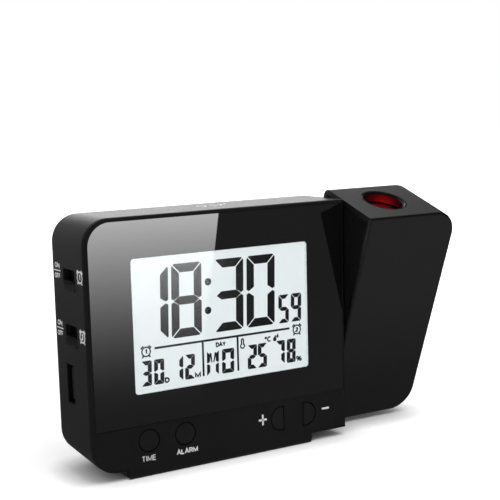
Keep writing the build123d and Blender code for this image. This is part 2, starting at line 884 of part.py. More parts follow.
# ------------------------------------------------------------------ slide switches and their board
knob_parts = []
switch_parts = []
knob_travel = switch_window_height - knob_height - 2 * knob_gap
for name, window_z in switch_windows.items():
    knob_z = window_z - knob_travel / 2
    with BuildPart() as knob:
        knob_width = switch_window_width - 2 * knob_gap
        with BuildSketch(side(left_x - knob_proud)):
            with Locations((switch_y, knob_z)):
                Rectangle(knob_width, knob_height)
        extrude(amount=knob_proud + wall + knob_gap)
        fillet(knob.edges().filter_by(Axis.X), knob_corner)
        # a finger hollow, the arc of a cylinder across the face
        hollow_radius = (knob_height**2 / 4 + knob_hollow**2) / (2 * knob_hollow)
        with BuildSketch(across(switch_y + body_depth / 2 - knob_width / 2)):
            with Locations((left_x - knob_proud - hollow_radius + knob_hollow, knob_z)):
                Circle(hollow_radius)
        extrude(amount=-knob_width, mode=Mode.SUBTRACT)
        with BuildSketch(side(left_x + wall + knob_gap)):
            with Locations((switch_y, knob_z)):
                Rectangle(
                    switch_window_width + 2 * knob_flange_margin,
                    knob_height + 2 * (knob_travel + knob_flange_margin),
                )
        extrude(amount=knob_flange_thickness)
        with BuildSketch(side(left_x + wall + knob_gap + knob_flange_thickness)):
            with Locations((switch_y, knob_z)):
                Rectangle(knob_stub_width, knob_stub_height)
        extrude(amount=knob_stub_length)
    knob.part.label = name + "_knob"
    knob_parts.append(knob)
    with BuildPart() as switch:
        with BuildSketch(side(switch_body_x)):
            with Locations((switch_y, window_z)):
                Rectangle(switch_body_width, switch_body_length)
        extrude(amount=switch_body_height)
        with BuildSketch(side(switch_body_x)):
            with Locations((switch_y, window_z)):
                Rectangle(
                    knob_stub_width + 2 * knob_gap,
                    knob_stub_height + knob_travel + 2 * knob_gap,
                )
        extrude(amount=knob_stub_length + knob_gap, mode=Mode.SUBTRACT)
    switch.part.label = name + "_switch"
    switch_parts.append(switch)

with BuildPart() as switch_board:
    with BuildSketch(side(switch_board_x)):
        with Locations((board_back_y, switch_board_bottom)):
            Rectangle(
                switch_board_back - board_back,
                switch_board_top - switch_board_bottom,
                align=(Align.MIN, Align.MIN),
            )
    extrude(amount=board_thickness)
switch_board.part.label = "switch_board"

# ------------------------------------------------------------------ USB socket, power board, inlet
usb_front = left_x + usb_recess
with BuildPart() as usb_shell:
    with BuildSketch(side(usb_front)):
        with Locations((usb_y, usb_z)):
            Rectangle(usb_outer_width, usb_outer_height)
            Rectangle(usb_opening_width, usb_opening_height, mode=Mode.SUBTRACT)
    extrude(amount=usb_length)
usb_shell.part.label = "usb_shell"

with BuildPart() as usb_tongue:
    # block that closes the shell's rear end, with the contact tongue standing forward from it
    with BuildSketch(side(usb_front + usb_length - usb_back_wall)):
        with Locations((usb_y, usb_z)):
            Rectangle(usb_opening_width, usb_opening_height)
    extrude(amount=usb_back_wall)
    with BuildSketch(side(usb_front + usb_tongue_recess)):
        with Locations((usb_y + usb_opening_width / 4 - usb_tongue_thickness / 4, usb_z)):
            Rectangle(usb_tongue_thickness, usb_tongue_width)
    extrude(amount=usb_length - usb_back_wall - usb_tongue_recess)
usb_tongue.part.label = "usb_tongue"

with BuildPart() as power_board:
    with BuildSketch(across(power_board_back)):
        with Locations((power_board_left, power_board_bottom)):
            Rectangle(
                power_board_right - power_board_left,
                power_board_top - power_board_bottom,
                align=(Align.MIN, Align.MIN),
            )
        with Locations(*power_posts):
            Circle(board_screw_radius + screw_clearance, mode=Mode.SUBTRACT)
    extrude(amount=board_thickness)
power_board.part.label = "power_board"

with BuildPart() as power_inlet:
    with BuildSketch(across(back_inside - stack_gap)):
        with Locations(inlet_place):
            Rectangle(inlet_size, inlet_size)
    extrude(amount=back_inside - stack_gap - power_board_back)
    nose_depth = body_depth - inlet_gap
    with BuildSketch(across(nose_depth)):
        with Locations(inlet_place):
            Circle(inlet_nose_radius)
    extrude(amount=nose_depth - back_inside + stack_gap)
    with BuildSketch(across(nose_depth)):
        with Locations(inlet_place):
            Circle(inlet_bore_radius)
    extrude(amount=inlet_bore_depth, mode=Mode.SUBTRACT)
    with BuildSketch(across(nose_depth - inlet_pin_recess)):
        with Locations(inlet_place):
            Circle(inlet_pin_radius)
    extrude(amount=inlet_bore_depth - inlet_pin_recess)
power_inlet.part.label = "power_inlet"

# ------------------------------------------------------------------ batteries, contacts and door
with BuildPart() as batteries:
    cell_plane = Plane.YZ.offset(bay_x - (cell_length + cell_nub_length) / 2)
    cell_y = cell_depth - body_depth / 2
    with BuildSketch(cell_plane):
        with Locations((cell_y, bay_z)):
            with GridLocations(0, cell_pitch, 1, 2):
                Circle(cell_radius)
    extrude(amount=cell_length)
    with BuildSketch(cell_plane.offset(cell_length)):
        with Locations((cell_y, bay_z)):
            with GridLocations(0, cell_pitch, 1, 2):
                Circle(cell_nub_radius)
    extrude(amount=cell_nub_length)
batteries.part.label = "batteries"

with BuildPart() as battery_contacts:
    # a flat plate on each end wall with a bent leaf that reaches each cell
    leaf_root = bay_end_gap + contact_thickness
    leaf_tip = contact_room - bay_end_gap
    leaf_half = cell_radius - contact_lip
    for end in (-1, 1):
        plate_x = bay_x + end * bay_width / 2
        for cell in (-1, 1):
            with BuildSketch(Plane.XY.offset(bay_z + cell * cell_pitch / 2 - contact_width / 2)):
                with BuildLine():
                    Polyline(
                        (plate_x - end * bay_end_gap, cell_y - cell_radius),
                        (plate_x - end * bay_end_gap, cell_y + cell_radius),
                        (plate_x - end * leaf_root, cell_y + cell_radius),
                        (plate_x - end * leaf_tip, cell_y),
                        (plate_x - end * leaf_root, cell_y - cell_radius),
                        close=True,
                    )
                make_face()
                with BuildLine():
                    Polyline(
                        (plate_x - end * leaf_root, cell_y + leaf_half),
                        (plate_x - end * (leaf_tip - contact_thickness), cell_y),
                        (plate_x - end * leaf_root, cell_y - leaf_half),
                        close=True,
                    )
                make_face(mode=Mode.SUBTRACT)
            extrude(amount=contact_width)
battery_contacts.part.label = "battery_contacts"

with BuildPart() as battery_door:
    with BuildSketch(across(body_depth)):
        with Locations((bay_x, bay_z)):
            RectangleRounded(door_width - 2 * door_gap, door_height - 2 * door_gap, door_corner)
    extrude(amount=door_thickness)
    # grip ridges near the upper edge
    with BuildSketch(across(body_depth)):
        with Locations((bay_x, bay_z + door_height / 2 - 3 * door_rib_pitch)):
            with GridLocations(0, door_rib_pitch, 1, door_rib_count):
                Rectangle(door_latch_width, door_rib_pitch / 2)
    extrude(amount=door_latch_depth, mode=Mode.SUBTRACT)
    # two tabs that hook under the lower edge of the opening
    tab_back = body_depth - door_tab_depth
    with BuildSketch(across(tab_back)):
        with Locations((bay_x, door_bottom - door_tab_reach)):
            with GridLocations(door_tab_pitch, 0, 2, 1):
                Rectangle(
                    door_tab_width,
                    door_tab_reach + door_gap + bay_wall,
                    align=(Align.CENTER, Align.MIN),
                )
    extrude(amount=door_tab_thickness)
    with BuildSketch(across(tab_back)):
        with Locations((bay_x, door_bottom + door_gap)):
            with GridLocations(door_tab_pitch, 0, 2, 1):
                Rectangle(door_tab_width, bay_wall, align=(Align.CENTER, Align.MIN))
    extrude(amount=-(body_depth - door_thickness - tab_back))
battery_door.part.label = "battery_door"


# ------------------------------------------------------------------ screws
def pan_screws(name, seats, radius, length, head_radius, head_height):
    """Pan-head screws; each seat is a plane, places on it and the way that the shanks point."""
    with BuildPart() as screws:
        for plane, places, way in seats:
            with BuildSketch(plane):
                with Locations(*places):
                    Circle(head_radius)
            extrude(amount=-way * head_height)
            with BuildSketch(plane):
                with Locations(*places):
                    Circle(radius)
            extrude(amount=way * length)
    screws.part.label = name
    return screws


housing_screws = pan_screws(
    "housing_screws",
    [(across(body_depth - counterbore_depth), screw_places, 1)],
    screw_radius,
    screw_length,
    screw_head_radius,
    screw_head_height,
)
board_screws = pan_screws(
    "board_screws",
    [
        (across(board_back), main_posts, 1),
        (across(key_board_back), key_posts, 1),
        (across(power_board_front), power_posts, -1),
    ],
    board_screw_radius,
    board_screw_length,
    board_screw_head,
    board_screw_head_height,
)

# ------------------------------------------------------------------ pivot
bush_end = right_x + bush_proud
flange_x = right_x - wall - running_gap
with BuildPart() as pivot_bush:
    with BuildSketch(side(bush_inner_end)):
        with Locations((0, pivot_z)):
            Circle(bush_radius)
    extrude(amount=bush_end - bush_inner_end)
    with BuildSketch(side(flange_x - bush_flange_thickness)):
        with Locations((0, pivot_z)):
            Circle(bush_flange_radius)
    extrude(amount=bush_flange_thickness)
    with BuildSketch(side(bush_inner_end)):
        with Locations((0, pivot_z)):
            Circle(hub_radius + running_gap)
    extrude(amount=bush_end - bush_inner_end, mode=Mode.SUBTRACT)
pivot_bush.part.label = "pivot_bush"

cover_inside = arm_left + wall
hub_flange_x = cover_inside + running_gap
washer_end = bush_inner_end - 2 * running_gap
clip_end = washer_end - washer_thickness - washer_cone - running_gap
clip_start = clip_end - clip_thickness
with BuildPart() as pivot_hub:
    with BuildSketch(side(hub_inner_end)):
        with Locations((0, pivot_z)):
            Circle(hub_radius)
    extrude(amount=hub_flange_x + hub_flange_thickness - hub_inner_end)
    with BuildSketch(side(hub_flange_x)):
        with Locations((0, pivot_z)):
            Circle(hub_flange_radius)
    extrude(amount=hub_flange_thickness)
    with BuildSketch(side(hub_inner_end)):
        with Locations((0, pivot_z)):
            Circle(hub_bore_radius)
    extrude(amount=hub_flange_x + hub_flange_thickness - hub_inner_end, mode=Mode.SUBTRACT)
    # groove of the retaining clip
    with BuildSketch(side(clip_start - running_gap)):
        with Locations((0, pivot_z)):
            Circle(hub_radius)
            Circle(hub_radius - clip_groove_depth, mode=Mode.SUBTRACT)
    extrude(amount=clip_thickness + 2 * running_gap, mode=Mode.SUBTRACT)
    # screw holes in the flange
    with BuildSketch(arm_side(hub_flange_x)):
        with PolarLocations(hub_screw_ring_radius, hub_screw_count, start_angle=90):
            Circle(board_screw_radius + screw_clearance)
    extrude(amount=hub_flange_thickness, mode=Mode.SUBTRACT)
pivot_hub.part.label = "pivot_hub"

with BuildPart() as pivot_washer:
    # conical spring washer between the bush and the clip
    with BuildSketch(Plane.XZ):
        with BuildLine():
            Polyline(
                (washer_end, pivot_z + hub_radius + running_gap),
                (washer_end - washer_cone, pivot_z + clip_radius),
                (washer_end - washer_cone - washer_thickness, pivot_z + clip_radius),
                (washer_end - washer_thickness, pivot_z + hub_radius + running_gap),
                close=True,
            )
        make_face()
    revolve(axis=pivot_axis)
pivot_washer.part.label = "pivot_washer"

with BuildPart() as pivot_clip:
    with BuildSketch(arm_side(clip_start)):
        Circle(clip_radius)
        Circle(hub_radius - clip_groove_depth + running_gap, mode=Mode.SUBTRACT)
        Rectangle(clip_radius, clip_mouth, align=(Align.MIN, Align.CENTER), mode=Mode.SUBTRACT)
    extrude(amount=clip_thickness)
pivot_clip.part.label = "pivot_clip"


# ------------------------------------------------------------------ projector arm
def arm_block(inset):
    """The arm's outer form, or its hollow when inset by the wall, open towards the body."""
    with BuildPart(mode=Mode.PRIVATE) as block:
        with BuildSketch(arm_across(body_depth / 2 - inset)) as outline:
            with Locations((arm_left, arm_middle)):
                Rectangle(
                    arm_width - inset,
                    arm_length - 2 * inset,
                    align=(Align.MIN, Align.CENTER),
                )
            fillet(outline.vertices().group_by(Axis.X)[-1], arm_corner_radius - inset)
        extrude(amount=body_depth - 2 * inset)
        ends = block.faces().filter_by(arm_across(0)).sort_by(arm_depth_axis)
        fillet(ends[-1].edges().sort_by(Axis.X)[1:], arm_rear_round - inset)
        if edge_round > inset:
            fillet(ends[0].edges().sort_by(Axis.X), edge_round - inset)
    return block.part


def cover_outline(gap):
    """The arm's open side: square at the front, round at the rear."""
    with BuildSketch(mode=Mode.PRIVATE) as outline:
        with Locations((0, arm_middle)):
            Rectangle(body_depth - 2 * (wall + gap), arm_length - 2 * (wall + gap))
        fillet(outline.vertices().group_by(Axis.X)[-1], arm_rear_round - wall - gap)
    return outline.sketch


lug_x = cover_inside + lug_size[0] / 2
lug_places = [(lug_x, height) for height in lug_heights]
arm_rear = arm_across(body_depth / 2)

with BuildPart() as arm_shell:
    add(arm_block(0))
    add(arm_block(wall), mode=Mode.SUBTRACT)
    # hole of the focus ring, with a collar under it
    with BuildSketch(arm_level(arm_top - wall - collar_depth)):
        with Locations((lens_x, 0)):
            Circle(ring_radius + ring_gap + collar_wall)
    extrude(amount=collar_depth + wall / 2)
    with BuildSketch(arm_level(arm_top - wall - collar_depth)):
        with Locations((lens_x, 0)):
            Circle(ring_radius + ring_gap)
    extrude(amount=collar_depth + wall, mode=Mode.SUBTRACT)
    # holes of the arm screws in the rear wall
    with BuildSketch(arm_rear):
        with Locations(*lug_places):
            Circle(screw_radius + screw_clearance)
    extrude(amount=wall, mode=Mode.SUBTRACT)
    with BuildSketch(arm_rear):
        with Locations(*lug_places):
            Circle(screw_head_radius + screw_clearance)
    extrude(amount=wall / 2, mode=Mode.SUBTRACT)
arm_shell.part.label = "arm_shell"

with BuildPart() as arm_side_cover:
    with BuildSketch(arm_side(arm_left)):
        add(cover_outline(cover_gap))
        Circle(hub_radius + running_gap, mode=Mode.SUBTRACT)
    extrude(amount=wall)
    with BuildSketch(arm_side(cover_inside)):
        with PolarLocations(hub_screw_ring_radius, hub_screw_count, start_angle=90):
            Circle(board_screw_radius + pilot_clearance)
    extrude(amount=-wall, mode=Mode.SUBTRACT)
    # lugs that take the arm screws
    lug_depth = body_depth / 2 - wall - cover_gap
    with BuildSketch(arm_side(cover_inside)):
        with Locations(*[(lug_depth, height) for height in lug_heights]):
            Rectangle(lug_size[1], lug_size[2], align=(Align.MAX, Align.CENTER))
    extrude(amount=lug_size[0])
    with BuildSketch(arm_across(lug_depth)):
        with Locations(*lug_places):
            Circle(screw_radius + pilot_clearance)
    extrude(amount=lug_size[1], mode=Mode.SUBTRACT)
arm_side_cover.part.label = "arm_side_cover"

arm_screws = pan_screws(
    "arm_screws",
    [(arm_across(body_depth / 2 - wall / 2), lug_places, 1)],
    screw_radius,
    arm_screw_length,
    screw_head_radius,
    wall / 2 - stack_gap,
)

with BuildPart() as hub_screws:
    hub_screw_seat = hub_flange_x + hub_flange_thickness
    with BuildSketch(arm_side(hub_screw_seat)):
        with PolarLocations(hub_screw_ring_radius, hub_screw_count, start_angle=90):
            Circle(board_screw_head)
    extrude(amount=board_screw_head_height)
    with BuildSketch(arm_side(hub_screw_seat)):
        with PolarLocations(hub_screw_ring_radius, hub_screw_count, start_angle=90):
            Circle(board_screw_radius)
    extrude(amount=-board_screw_length)
hub_screws.part.label = "hub_screws"

# ------------------------------------------------------------------ focus ring, barrel and lens
collar_end = arm_top - wall - collar_depth
ring_flange_top = collar_end - tube_gap
barrel_end = arm_top - barrel_top - barrel_length
with BuildPart() as focus_ring:
    with BuildSketch(arm_across(0)):
        with BuildLine():
            Polyline(
                (lens_x + ring_bore_radius, ring_flange_top - ring_flange_thickness),
                (lens_x + ring_flange_radius, ring_flange_top - ring_flange_thickness),
                (lens_x + ring_flange_radius, ring_flange_top),
                (lens_x + ring_radius, ring_flange_top),
                (lens_x + ring_radius, arm_top - panel_gap),
                (lens_x + ring_radius - panel_gap, arm_top),
                (lens_x + ring_radius - 2 * panel_gap, arm_top),
                (lens_x + ring_bore_radius, arm_top - ring_chamfer),
                close=True,
            )
        make_face()
    revolve(axis=lens_axis)
focus_ring.part.label = "focus_ring"

with BuildPart() as lens_barrel:
    with BuildSketch(arm_level(barrel_end)):
        with Locations((lens_x, 0)):
            Circle(ring_bore_radius - helix_clearance)
            Circle(barrel_bore_radius, mode=Mode.SUBTRACT)
    extrude(amount=barrel_length)
    # shoulder under the lens
    shoulder_top = arm_top - barrel_top - barrel_seat
    with BuildSketch(arm_level(shoulder_top - seat_ring_thickness)):
        with Locations((lens_x, 0)):
            Circle(barrel_bore_radius)
            Circle(seat_ring_bore, mode=Mode.SUBTRACT)
    extrude(amount=seat_ring_thickness)
lens_barrel.part.label = "lens_barrel"


def lens_profile(radius, middle, edge, bulge_up, bulge_down):
    """Half section of a lens: a flat rim between two arcs that meet the axis."""
    with BuildLine() as section:
        Line((lens_x, middle - edge / 2 - bulge_down), (lens_x, middle + edge / 2 + bulge_up))
        if bulge_up:
            RadiusArc(
                (lens_x, middle + edge / 2 + bulge_up),
                (lens_x + radius, middle + edge / 2),
                (radius**2 + bulge_up**2) / (2 * bulge_up),
            )
        else:
            Line((lens_x, middle + edge / 2), (lens_x + radius, middle + edge / 2))
        Line((lens_x + radius, middle + edge / 2), (lens_x + radius, middle - edge / 2))
        if bulge_down:
            RadiusArc(
                (lens_x + radius, middle - edge / 2),
                (lens_x, middle - edge / 2 - bulge_down),
                (radius**2 + bulge_down**2) / (2 * bulge_down),
            )
        else:
            Line((lens_x + radius, middle - edge / 2), (lens_x, middle - edge / 2))
    return section.line


with BuildPart() as projection_lens:
    lens_middle = shoulder_top + stack_gap + lens_edge / 2
    with BuildSketch(arm_across(0)):
        add(lens_profile(lens_radius, lens_middle, lens_edge, lens_bulge, 0))
        make_face()
    revolve(axis=lens_axis)
projection_lens.part.label = "projection_lens"

# ------------------------------------------------------------------ lamp housing and what it holds
with BuildPart() as lamp_housing:
    tube_top = ring_flange_top - ring_flange_thickness - tube_gap
    with BuildSketch(arm_level(tube_bottom)):
        with Locations((lens_x, 0)):
            Circle(tube_radius)
    extrude(amount=tube_top - tube_bottom)
    for height in saddle_heights:
        with BuildSketch(arm_level(height)):
            with Locations((lens_x, 0)):
                Rectangle(saddle_width, body_depth - 2 * (wall + saddle_gap))
        extrude(amount=saddle_thickness)
    with BuildSketch(arm_level(tube_bottom)):
        with Locations((lens_x, 0)):
            Circle(ring_bore_radius)
    extrude(amount=tube_top - tube_bottom, mode=Mode.SUBTRACT)
    # shelf that carries the image cell
    with BuildSketch(arm_level(cell_plate_height - seat_ring_thickness)):
        with Locations((lens_x, 0)):
            Circle(ring_bore_radius)
            Rectangle(cell_plate[0] - wall, cell_plate[1] - wall, mode=Mode.SUBTRACT)
    extrude(amount=seat_ring_thickness)
lamp_housing.part.label = "lamp_housing"

with BuildPart() as image_cell:
    with BuildSketch(arm_level(cell_plate_height + stack_gap)):
        with Locations((lens_x, 0)):
            Rectangle(cell_plate[0], cell_plate[1])
    extrude(amount=cell_plate[2])
image_cell.part.label = "image_cell"

with BuildPart() as condenser_lens:
    with BuildSketch(arm_across(0)):
        add(lens_profile(condenser_radius, condenser_height, condenser_edge, condenser_bulge, 0))
        make_face()
    revolve(axis=lens_axis)
condenser_lens.part.label = "condenser_lens"

lamp_board_top = tube_bottom - stack_gap
with BuildPart() as lamp_board:
    with BuildSketch(arm_level(lamp_board_top - board_thickness)):
        with Locations((lens_x, 0)):
            Rectangle(*lamp_board_size)
    extrude(amount=board_thickness)
lamp_board.part.label = "lamp_board"

with BuildPart() as lamp_led:
    with BuildSketch(arm_level(lamp_board_top)):
        with Locations((lens_x, 0)):
            Circle(led_base_radius)
    extrude(amount=led_base_height)
    with BuildSketch(arm_level(lamp_board_top)):
        with Locations((lens_x, 0)):
            Circle(led_radius)
    extrude(amount=led_height)
    fillet(lamp_led.faces().filter_by(arm_level(0)).sort_by(Axis.Z)[-1].edges(), led_radius * 0.9)
lamp_led.part.label = "lamp_led"

with BuildPart() as lamp_cable:
    # bundle that runs through the hollow hub along the pivot axis and up to the lamp board
    with BuildLine(arm_across(0)):
        FilletPolyline(
            (hub_inner_end, 0),
            (lens_x, 0),
            (lens_x, lamp_board_top - board_thickness),
            radius=cable_bend,
        )
    with BuildSketch(side(hub_inner_end)):
        with Locations((0, pivot_z)):
            Circle(cable_radius)
    sweep()
lamp_cable.part.label = "lamp_cable"

# ------------------------------------------------------------------ write every node
pieces = [
    front_frame, rear_housing, front_panel, display_window, foot_pad,
    lcd_cell, light_guide, lcd_holder, lcd_connector, backlight_leds,
    main_board, controller_chip, beeper, climate_sensor, touch_plate, touch_lead,
    *button_parts, *plunger_parts, key_switches, key_board,
    *knob_parts, *switch_parts, switch_board,
    usb_shell, usb_tongue, power_board, power_inlet,
    batteries, battery_contacts, battery_door, housing_screws, board_screws,
    pivot_bush, pivot_hub, pivot_washer, pivot_clip, hub_screws,
    arm_shell, arm_side_cover, arm_screws,
    focus_ring, lens_barrel, projection_lens,
    lamp_housing, image_cell, condenser_lens, lamp_board, lamp_led, lamp_cable,
]
for piece in pieces:
    export_step(piece.part, f"parts/{piece.part.label}.step")
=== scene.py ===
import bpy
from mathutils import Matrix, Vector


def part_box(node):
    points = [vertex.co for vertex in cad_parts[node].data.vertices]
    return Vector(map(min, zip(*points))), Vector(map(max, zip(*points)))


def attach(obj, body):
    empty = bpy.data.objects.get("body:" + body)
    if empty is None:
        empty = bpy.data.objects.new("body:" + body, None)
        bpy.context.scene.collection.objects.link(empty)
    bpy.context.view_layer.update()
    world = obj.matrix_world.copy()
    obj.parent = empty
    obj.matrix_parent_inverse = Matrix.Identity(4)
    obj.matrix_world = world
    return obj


bl_info = {
    "name": "Projection alarm clock looks",
    "version": (1, 0, 0),
    "blender": (4, 5, 0),
    "location": "3D View > Sidebar > Clock",
    "description": "Finishes, display segments, printed legends and studio of a projection alarm clock",
    "category": "Object",
}

import bpy
import numpy as np
from mathutils import Matrix, Vector

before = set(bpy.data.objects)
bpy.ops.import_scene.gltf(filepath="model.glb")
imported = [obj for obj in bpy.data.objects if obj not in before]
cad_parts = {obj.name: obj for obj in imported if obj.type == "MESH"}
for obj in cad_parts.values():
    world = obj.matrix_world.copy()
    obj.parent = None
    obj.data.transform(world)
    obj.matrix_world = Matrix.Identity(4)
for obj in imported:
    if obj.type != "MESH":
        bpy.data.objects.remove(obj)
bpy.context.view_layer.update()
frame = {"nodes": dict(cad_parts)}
nodes = frame["nodes"]

MM = 0.001
BODY_LEFT_X = -52.0                     # the body's free end and its underside, in millimetres
BODY_BOTTOM_Z = 3.0
LAMP_POINT = (0.069, 0.0, 0.0408)       # a point of the projector's axis, in metres, and its direction
LAMP_AXIS = (0.0, -0.33874, 0.94088)
SHARPEST = 0.3                          # the least 1 + m.n that a corner of a line is mitred for

# A layer is a pair of heights over a face, in millimetres, where a print, a segment or a black line of painted
# shade (the seam, the screws' cross recesses) starts and ends.
DISPLAY_LAYER = (0.006, 0.026)
PRINT_LAYER = (0.002, 0.02)
SEAM_LAYER = (0.001, 0.01)
RECESS_SHADE_LAYER = (0.004, 0.02)

CAMERA_PLACE = (-0.2092, -0.3659, 0.1265)
CAMERA_TURNS = ((-0.55938, "Z"), (-0.16123, "X"), (0.02511, "Y"))
CAMERA_SHIFT = 0.0837

FRONT_CARDS_Y = -0.155                  # places of the studio cards, in metres
CEILING_CARDS_Z = 0.5
CARD_TOP = 0.12
BLACK = 0.02


class Face:
    """A flat face of the clock: a point (u, v, w) in millimetres lies at origin + u right + v up + w out."""

    def __init__(self, origin, right, up):
        self.origin = np.array(origin, float)
        self.right = np.array(right, float)
        self.up = np.array(up, float)
        self.out = np.cross(self.right, self.up)

    def place(self, u, v, w):
        """The points (u, v, w) in metres, from numbers or arrays that fit together."""
        u, v, w = np.broadcast_arrays(*(np.asarray(value, float) for value in (u, v, w)))
        point = self.origin + u[..., None] * self.right + v[..., None] * self.up + w[..., None] * self.out
        return point * MM


def face_of(node, side):
    """The face that a CAD node shows to the front, the left or the top, with u and v measured from the body's
    left, front or bottom edge."""
    low, high = (np.array(corner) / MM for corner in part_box(node))
    if side == "front":
        return Face((BODY_LEFT_X, low[1], BODY_BOTTOM_Z), (1, 0, 0), (0, 0, 1))
    if side == "left":
        return Face((low[0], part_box("rear_housing")[1][1] / MM, BODY_BOTTOM_Z), (0, -1, 0), (0, 0, 1))
    return Face((BODY_LEFT_X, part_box("front_frame")[0][1] / MM, high[2]), (1, 0, 0), (0, 1, 0))


# ---------------------------------------------------------------- shapes


def plate(face, outline, layer):
    """A thin plate on a face: the closed outline at the layer's two heights, each closed by a fan of triangles
    round the mean of the outline, and joined to the other by a wall of quads."""
    outline = np.asarray(outline, float)
    u, v = outline.T
    if np.sum(u * np.roll(v, -1) - v * np.roll(u, -1)) < 0:
        outline = outline[::-1]
    count = len(outline)
    middle = outline.mean(0)
    points = np.vstack([outline, outline, middle[None], middle[None]])
    heights = np.concatenate([np.repeat(layer, count), layer])
    here = np.arange(count)
    after = (here + 1) % count
    walls = np.stack([here, after, after + count, here + count], 1)
    back = np.stack([np.full(count, 2 * count), after, here], 1)
    front = np.stack([np.full(count, 2 * count + 1), here + count, after + count], 1)
    return face.place(points[:, 0], points[:, 1], heights), walls.tolist() + back.tolist() + front.tolist()


def ribbon(face, path, width, layer, closed=False):
    """A rectangle carried along a flat path, from one height of the layer to the other. Where two runs with the
    normals m and n meet, the edges lie half a width along (m + n) / (1 + m.n) from the path, which is a mitred
    corner."""
    path = np.asarray(path, float)
    runs = np.roll(path, -1, 0) - path
    if not closed:
        runs[-1] = runs[-2]
    runs /= np.linalg.norm(runs, axis=1)[:, None]
    n = np.stack([-runs[:, 1], runs[:, 0]], 1)
    m = np.roll(n, 1, 0)
    if not closed:
        m[0] = n[0]
    edge = (m + n) / np.maximum(1 + (m * n).sum(1), SHARPEST)[:, None] * width / 2
    corners = np.stack([path - edge, path + edge, path + edge, path - edge], 1)
    heights = np.broadcast_to(np.repeat(layer, 2), corners.shape[:2])
    count = len(path)
    here = np.arange(count if closed else count - 1)
    after = (here + 1) % count
    side = np.arange(4)
    quads = np.stack(
        [
            here[:, None] * 4 + side,
            here[:, None] * 4 + (side + 1) % 4,
            after[:, None] * 4 + (side + 1) % 4,
            after[:, None] * 4 + side,
        ],
        2,
    ).reshape(-1, 4)
    faces = quads[:, ::-1].tolist()
    if not closed:
        last = 4 * (count - 1)
        faces += [[0, 1, 2, 3], [last + 3, last + 2, last + 1, last]]
    return face.place(corners[..., 0], corners[..., 1], heights).reshape(-1, 3), faces


def arc(centre, radius, start, stop, count=9):
    """Points centre + radius (cos t, sin t) of a circle between two angles t in degrees, or of an ellipse with a
    pair of radii."""
    angle = np.radians(np.linspace(start, stop, count))
    return np.stack([np.cos(angle), np.sin(angle)], 1) * radius + np.asarray(centre, float)


def ring(centre, radius, count):
    """Points of a whole circle or ellipse, the first one not repeated."""
    return arc(centre, radius, 0, 360, count + 1)[:-1]


LETTERS = {
    "A": [[(0, 0), (0.38, 1), (0.76, 0)], [(0.14, 0.36), (0.62, 0.36)]],
    "C": [arc((0.38, 0.5), (0.38, 0.5), 48, 312, 15)],
    "D": [np.vstack([[(0, 0), (0, 1), (0.26, 1)], arc((0.26, 0.5), (0.44, 0.5), 75, -75, 9),
                     [(0.26, 0), (0, 0)]])],
    "E": [[(0.58, 1), (0, 1), (0, 0), (0.6, 0)], [(0, 0.52), (0.53, 0.52)]],
    "F": [[(0.58, 1), (0, 1), (0, 0)], [(0, 0.5), (0.5, 0.5)]],
    "I": [[(0.06, 0), (0.06, 1)]],
    "L": [[(0, 1), (0, 0), (0.54, 0)]],
    "M": [[(0, 0), (0, 1), (0.44, 0.12), (0.88, 1), (0.88, 0)]],
    "N": [[(0, 0), (0, 1), (0.7, 0), (0.7, 1)]],
    "O": [np.vstack([ring((0.4, 0.5), (0.4, 0.5), 20), [(0.8, 0.5), (0.78, 0.654)]])],
    "R": [np.vstack([[(0, 0), (0, 1), (0.36, 1)], arc((0.36, 0.75), (0.26, 0.25), 70, -70, 7),
                     [(0.36, 0.5), (0, 0.5)]]), [(0.36, 0.5), (0.66, 0)]],
    "T": [[(0, 1), (0.66, 1)], [(0.33, 1), (0.33, 0)]],
    "Y": [[(0, 1), (0.35, 0.46), (0.7, 1)], [(0.35, 0.5), (0.35, 0)]],
    "Z": [[(0, 1), (0.6, 1), (0, 0), (0.62, 0)]],
    "1": [[(0, 0.76), (0.26, 1), (0.26, 0)]],
    "2": [np.vstack([arc((0.29, 0.7), (0.29, 0.3), 165, -42, 11), [(0, 0), (0.6, 0)]])],
    "%": [[(0.14, 0), (0.72, 1)], np.vstack([ring((0.17, 0.76), (0.17, 0.24), 12), [(0.34, 0.76), (0.317, 0.88)]]),
          np.vstack([ring((0.69, 0.24), (0.17, 0.24), 12), [(0.86, 0.24), (0.837, 0.36)]])],
    "°": [np.vstack([ring((0.14, 0.86), (0.14, 0.14), 12), [(0.28, 0.86), (0.261, 0.93)]])],
}
SPACING = 0.26                          # between letters, as a share of their height


def word(face, text, centre, size, stroke, layer):
    """Lettering drawn with one stroke width: each letter is a few lines in a box of height 1, and the row of
    letters is stretched so that its outline fills size = (width, height) about centre."""
    lines, start = [], 0.0
    for letter in text:
        drawn = [np.asarray(line, float) + (start, 0) for line in LETTERS[letter]]
        lines += drawn
        start = max(line[:, 0].max() for line in drawn) + SPACING
    width = start - SPACING
    stretch = (np.array(size) - stroke) / (width, 1.0)
    return [ribbon(face, (line - (width / 2, 0.5)) * stretch + centre, stroke, layer) for line in lines]


def add_mesh(name, points, faces, material):
    """A mesh object with one material, put into the scene."""
    mesh = bpy.data.meshes.new(name)
    mesh.from_pydata(points.tolist(), [], faces)
    mesh.update()
    mesh.materials.append(material)
    thing = bpy.data.objects.new(name, mesh)
    bpy.context.scene.collection.objects.link(thing)
    return thing


def make_piece(name, parts, material, body):
    """One mesh object from a list of (points, faces), riding on a CAD body."""
    points, faces, total = [], [], 0
    for part_points, part_faces in parts:
        points.append(part_points)
        faces += [[index + total for index in corners] for corners in part_faces]
        total += len(part_points)
    piece = add_mesh(name, np.vstack(points), faces, material)
    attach(piece, body)


# ---------------------------------------------------------------- seven-segment figures

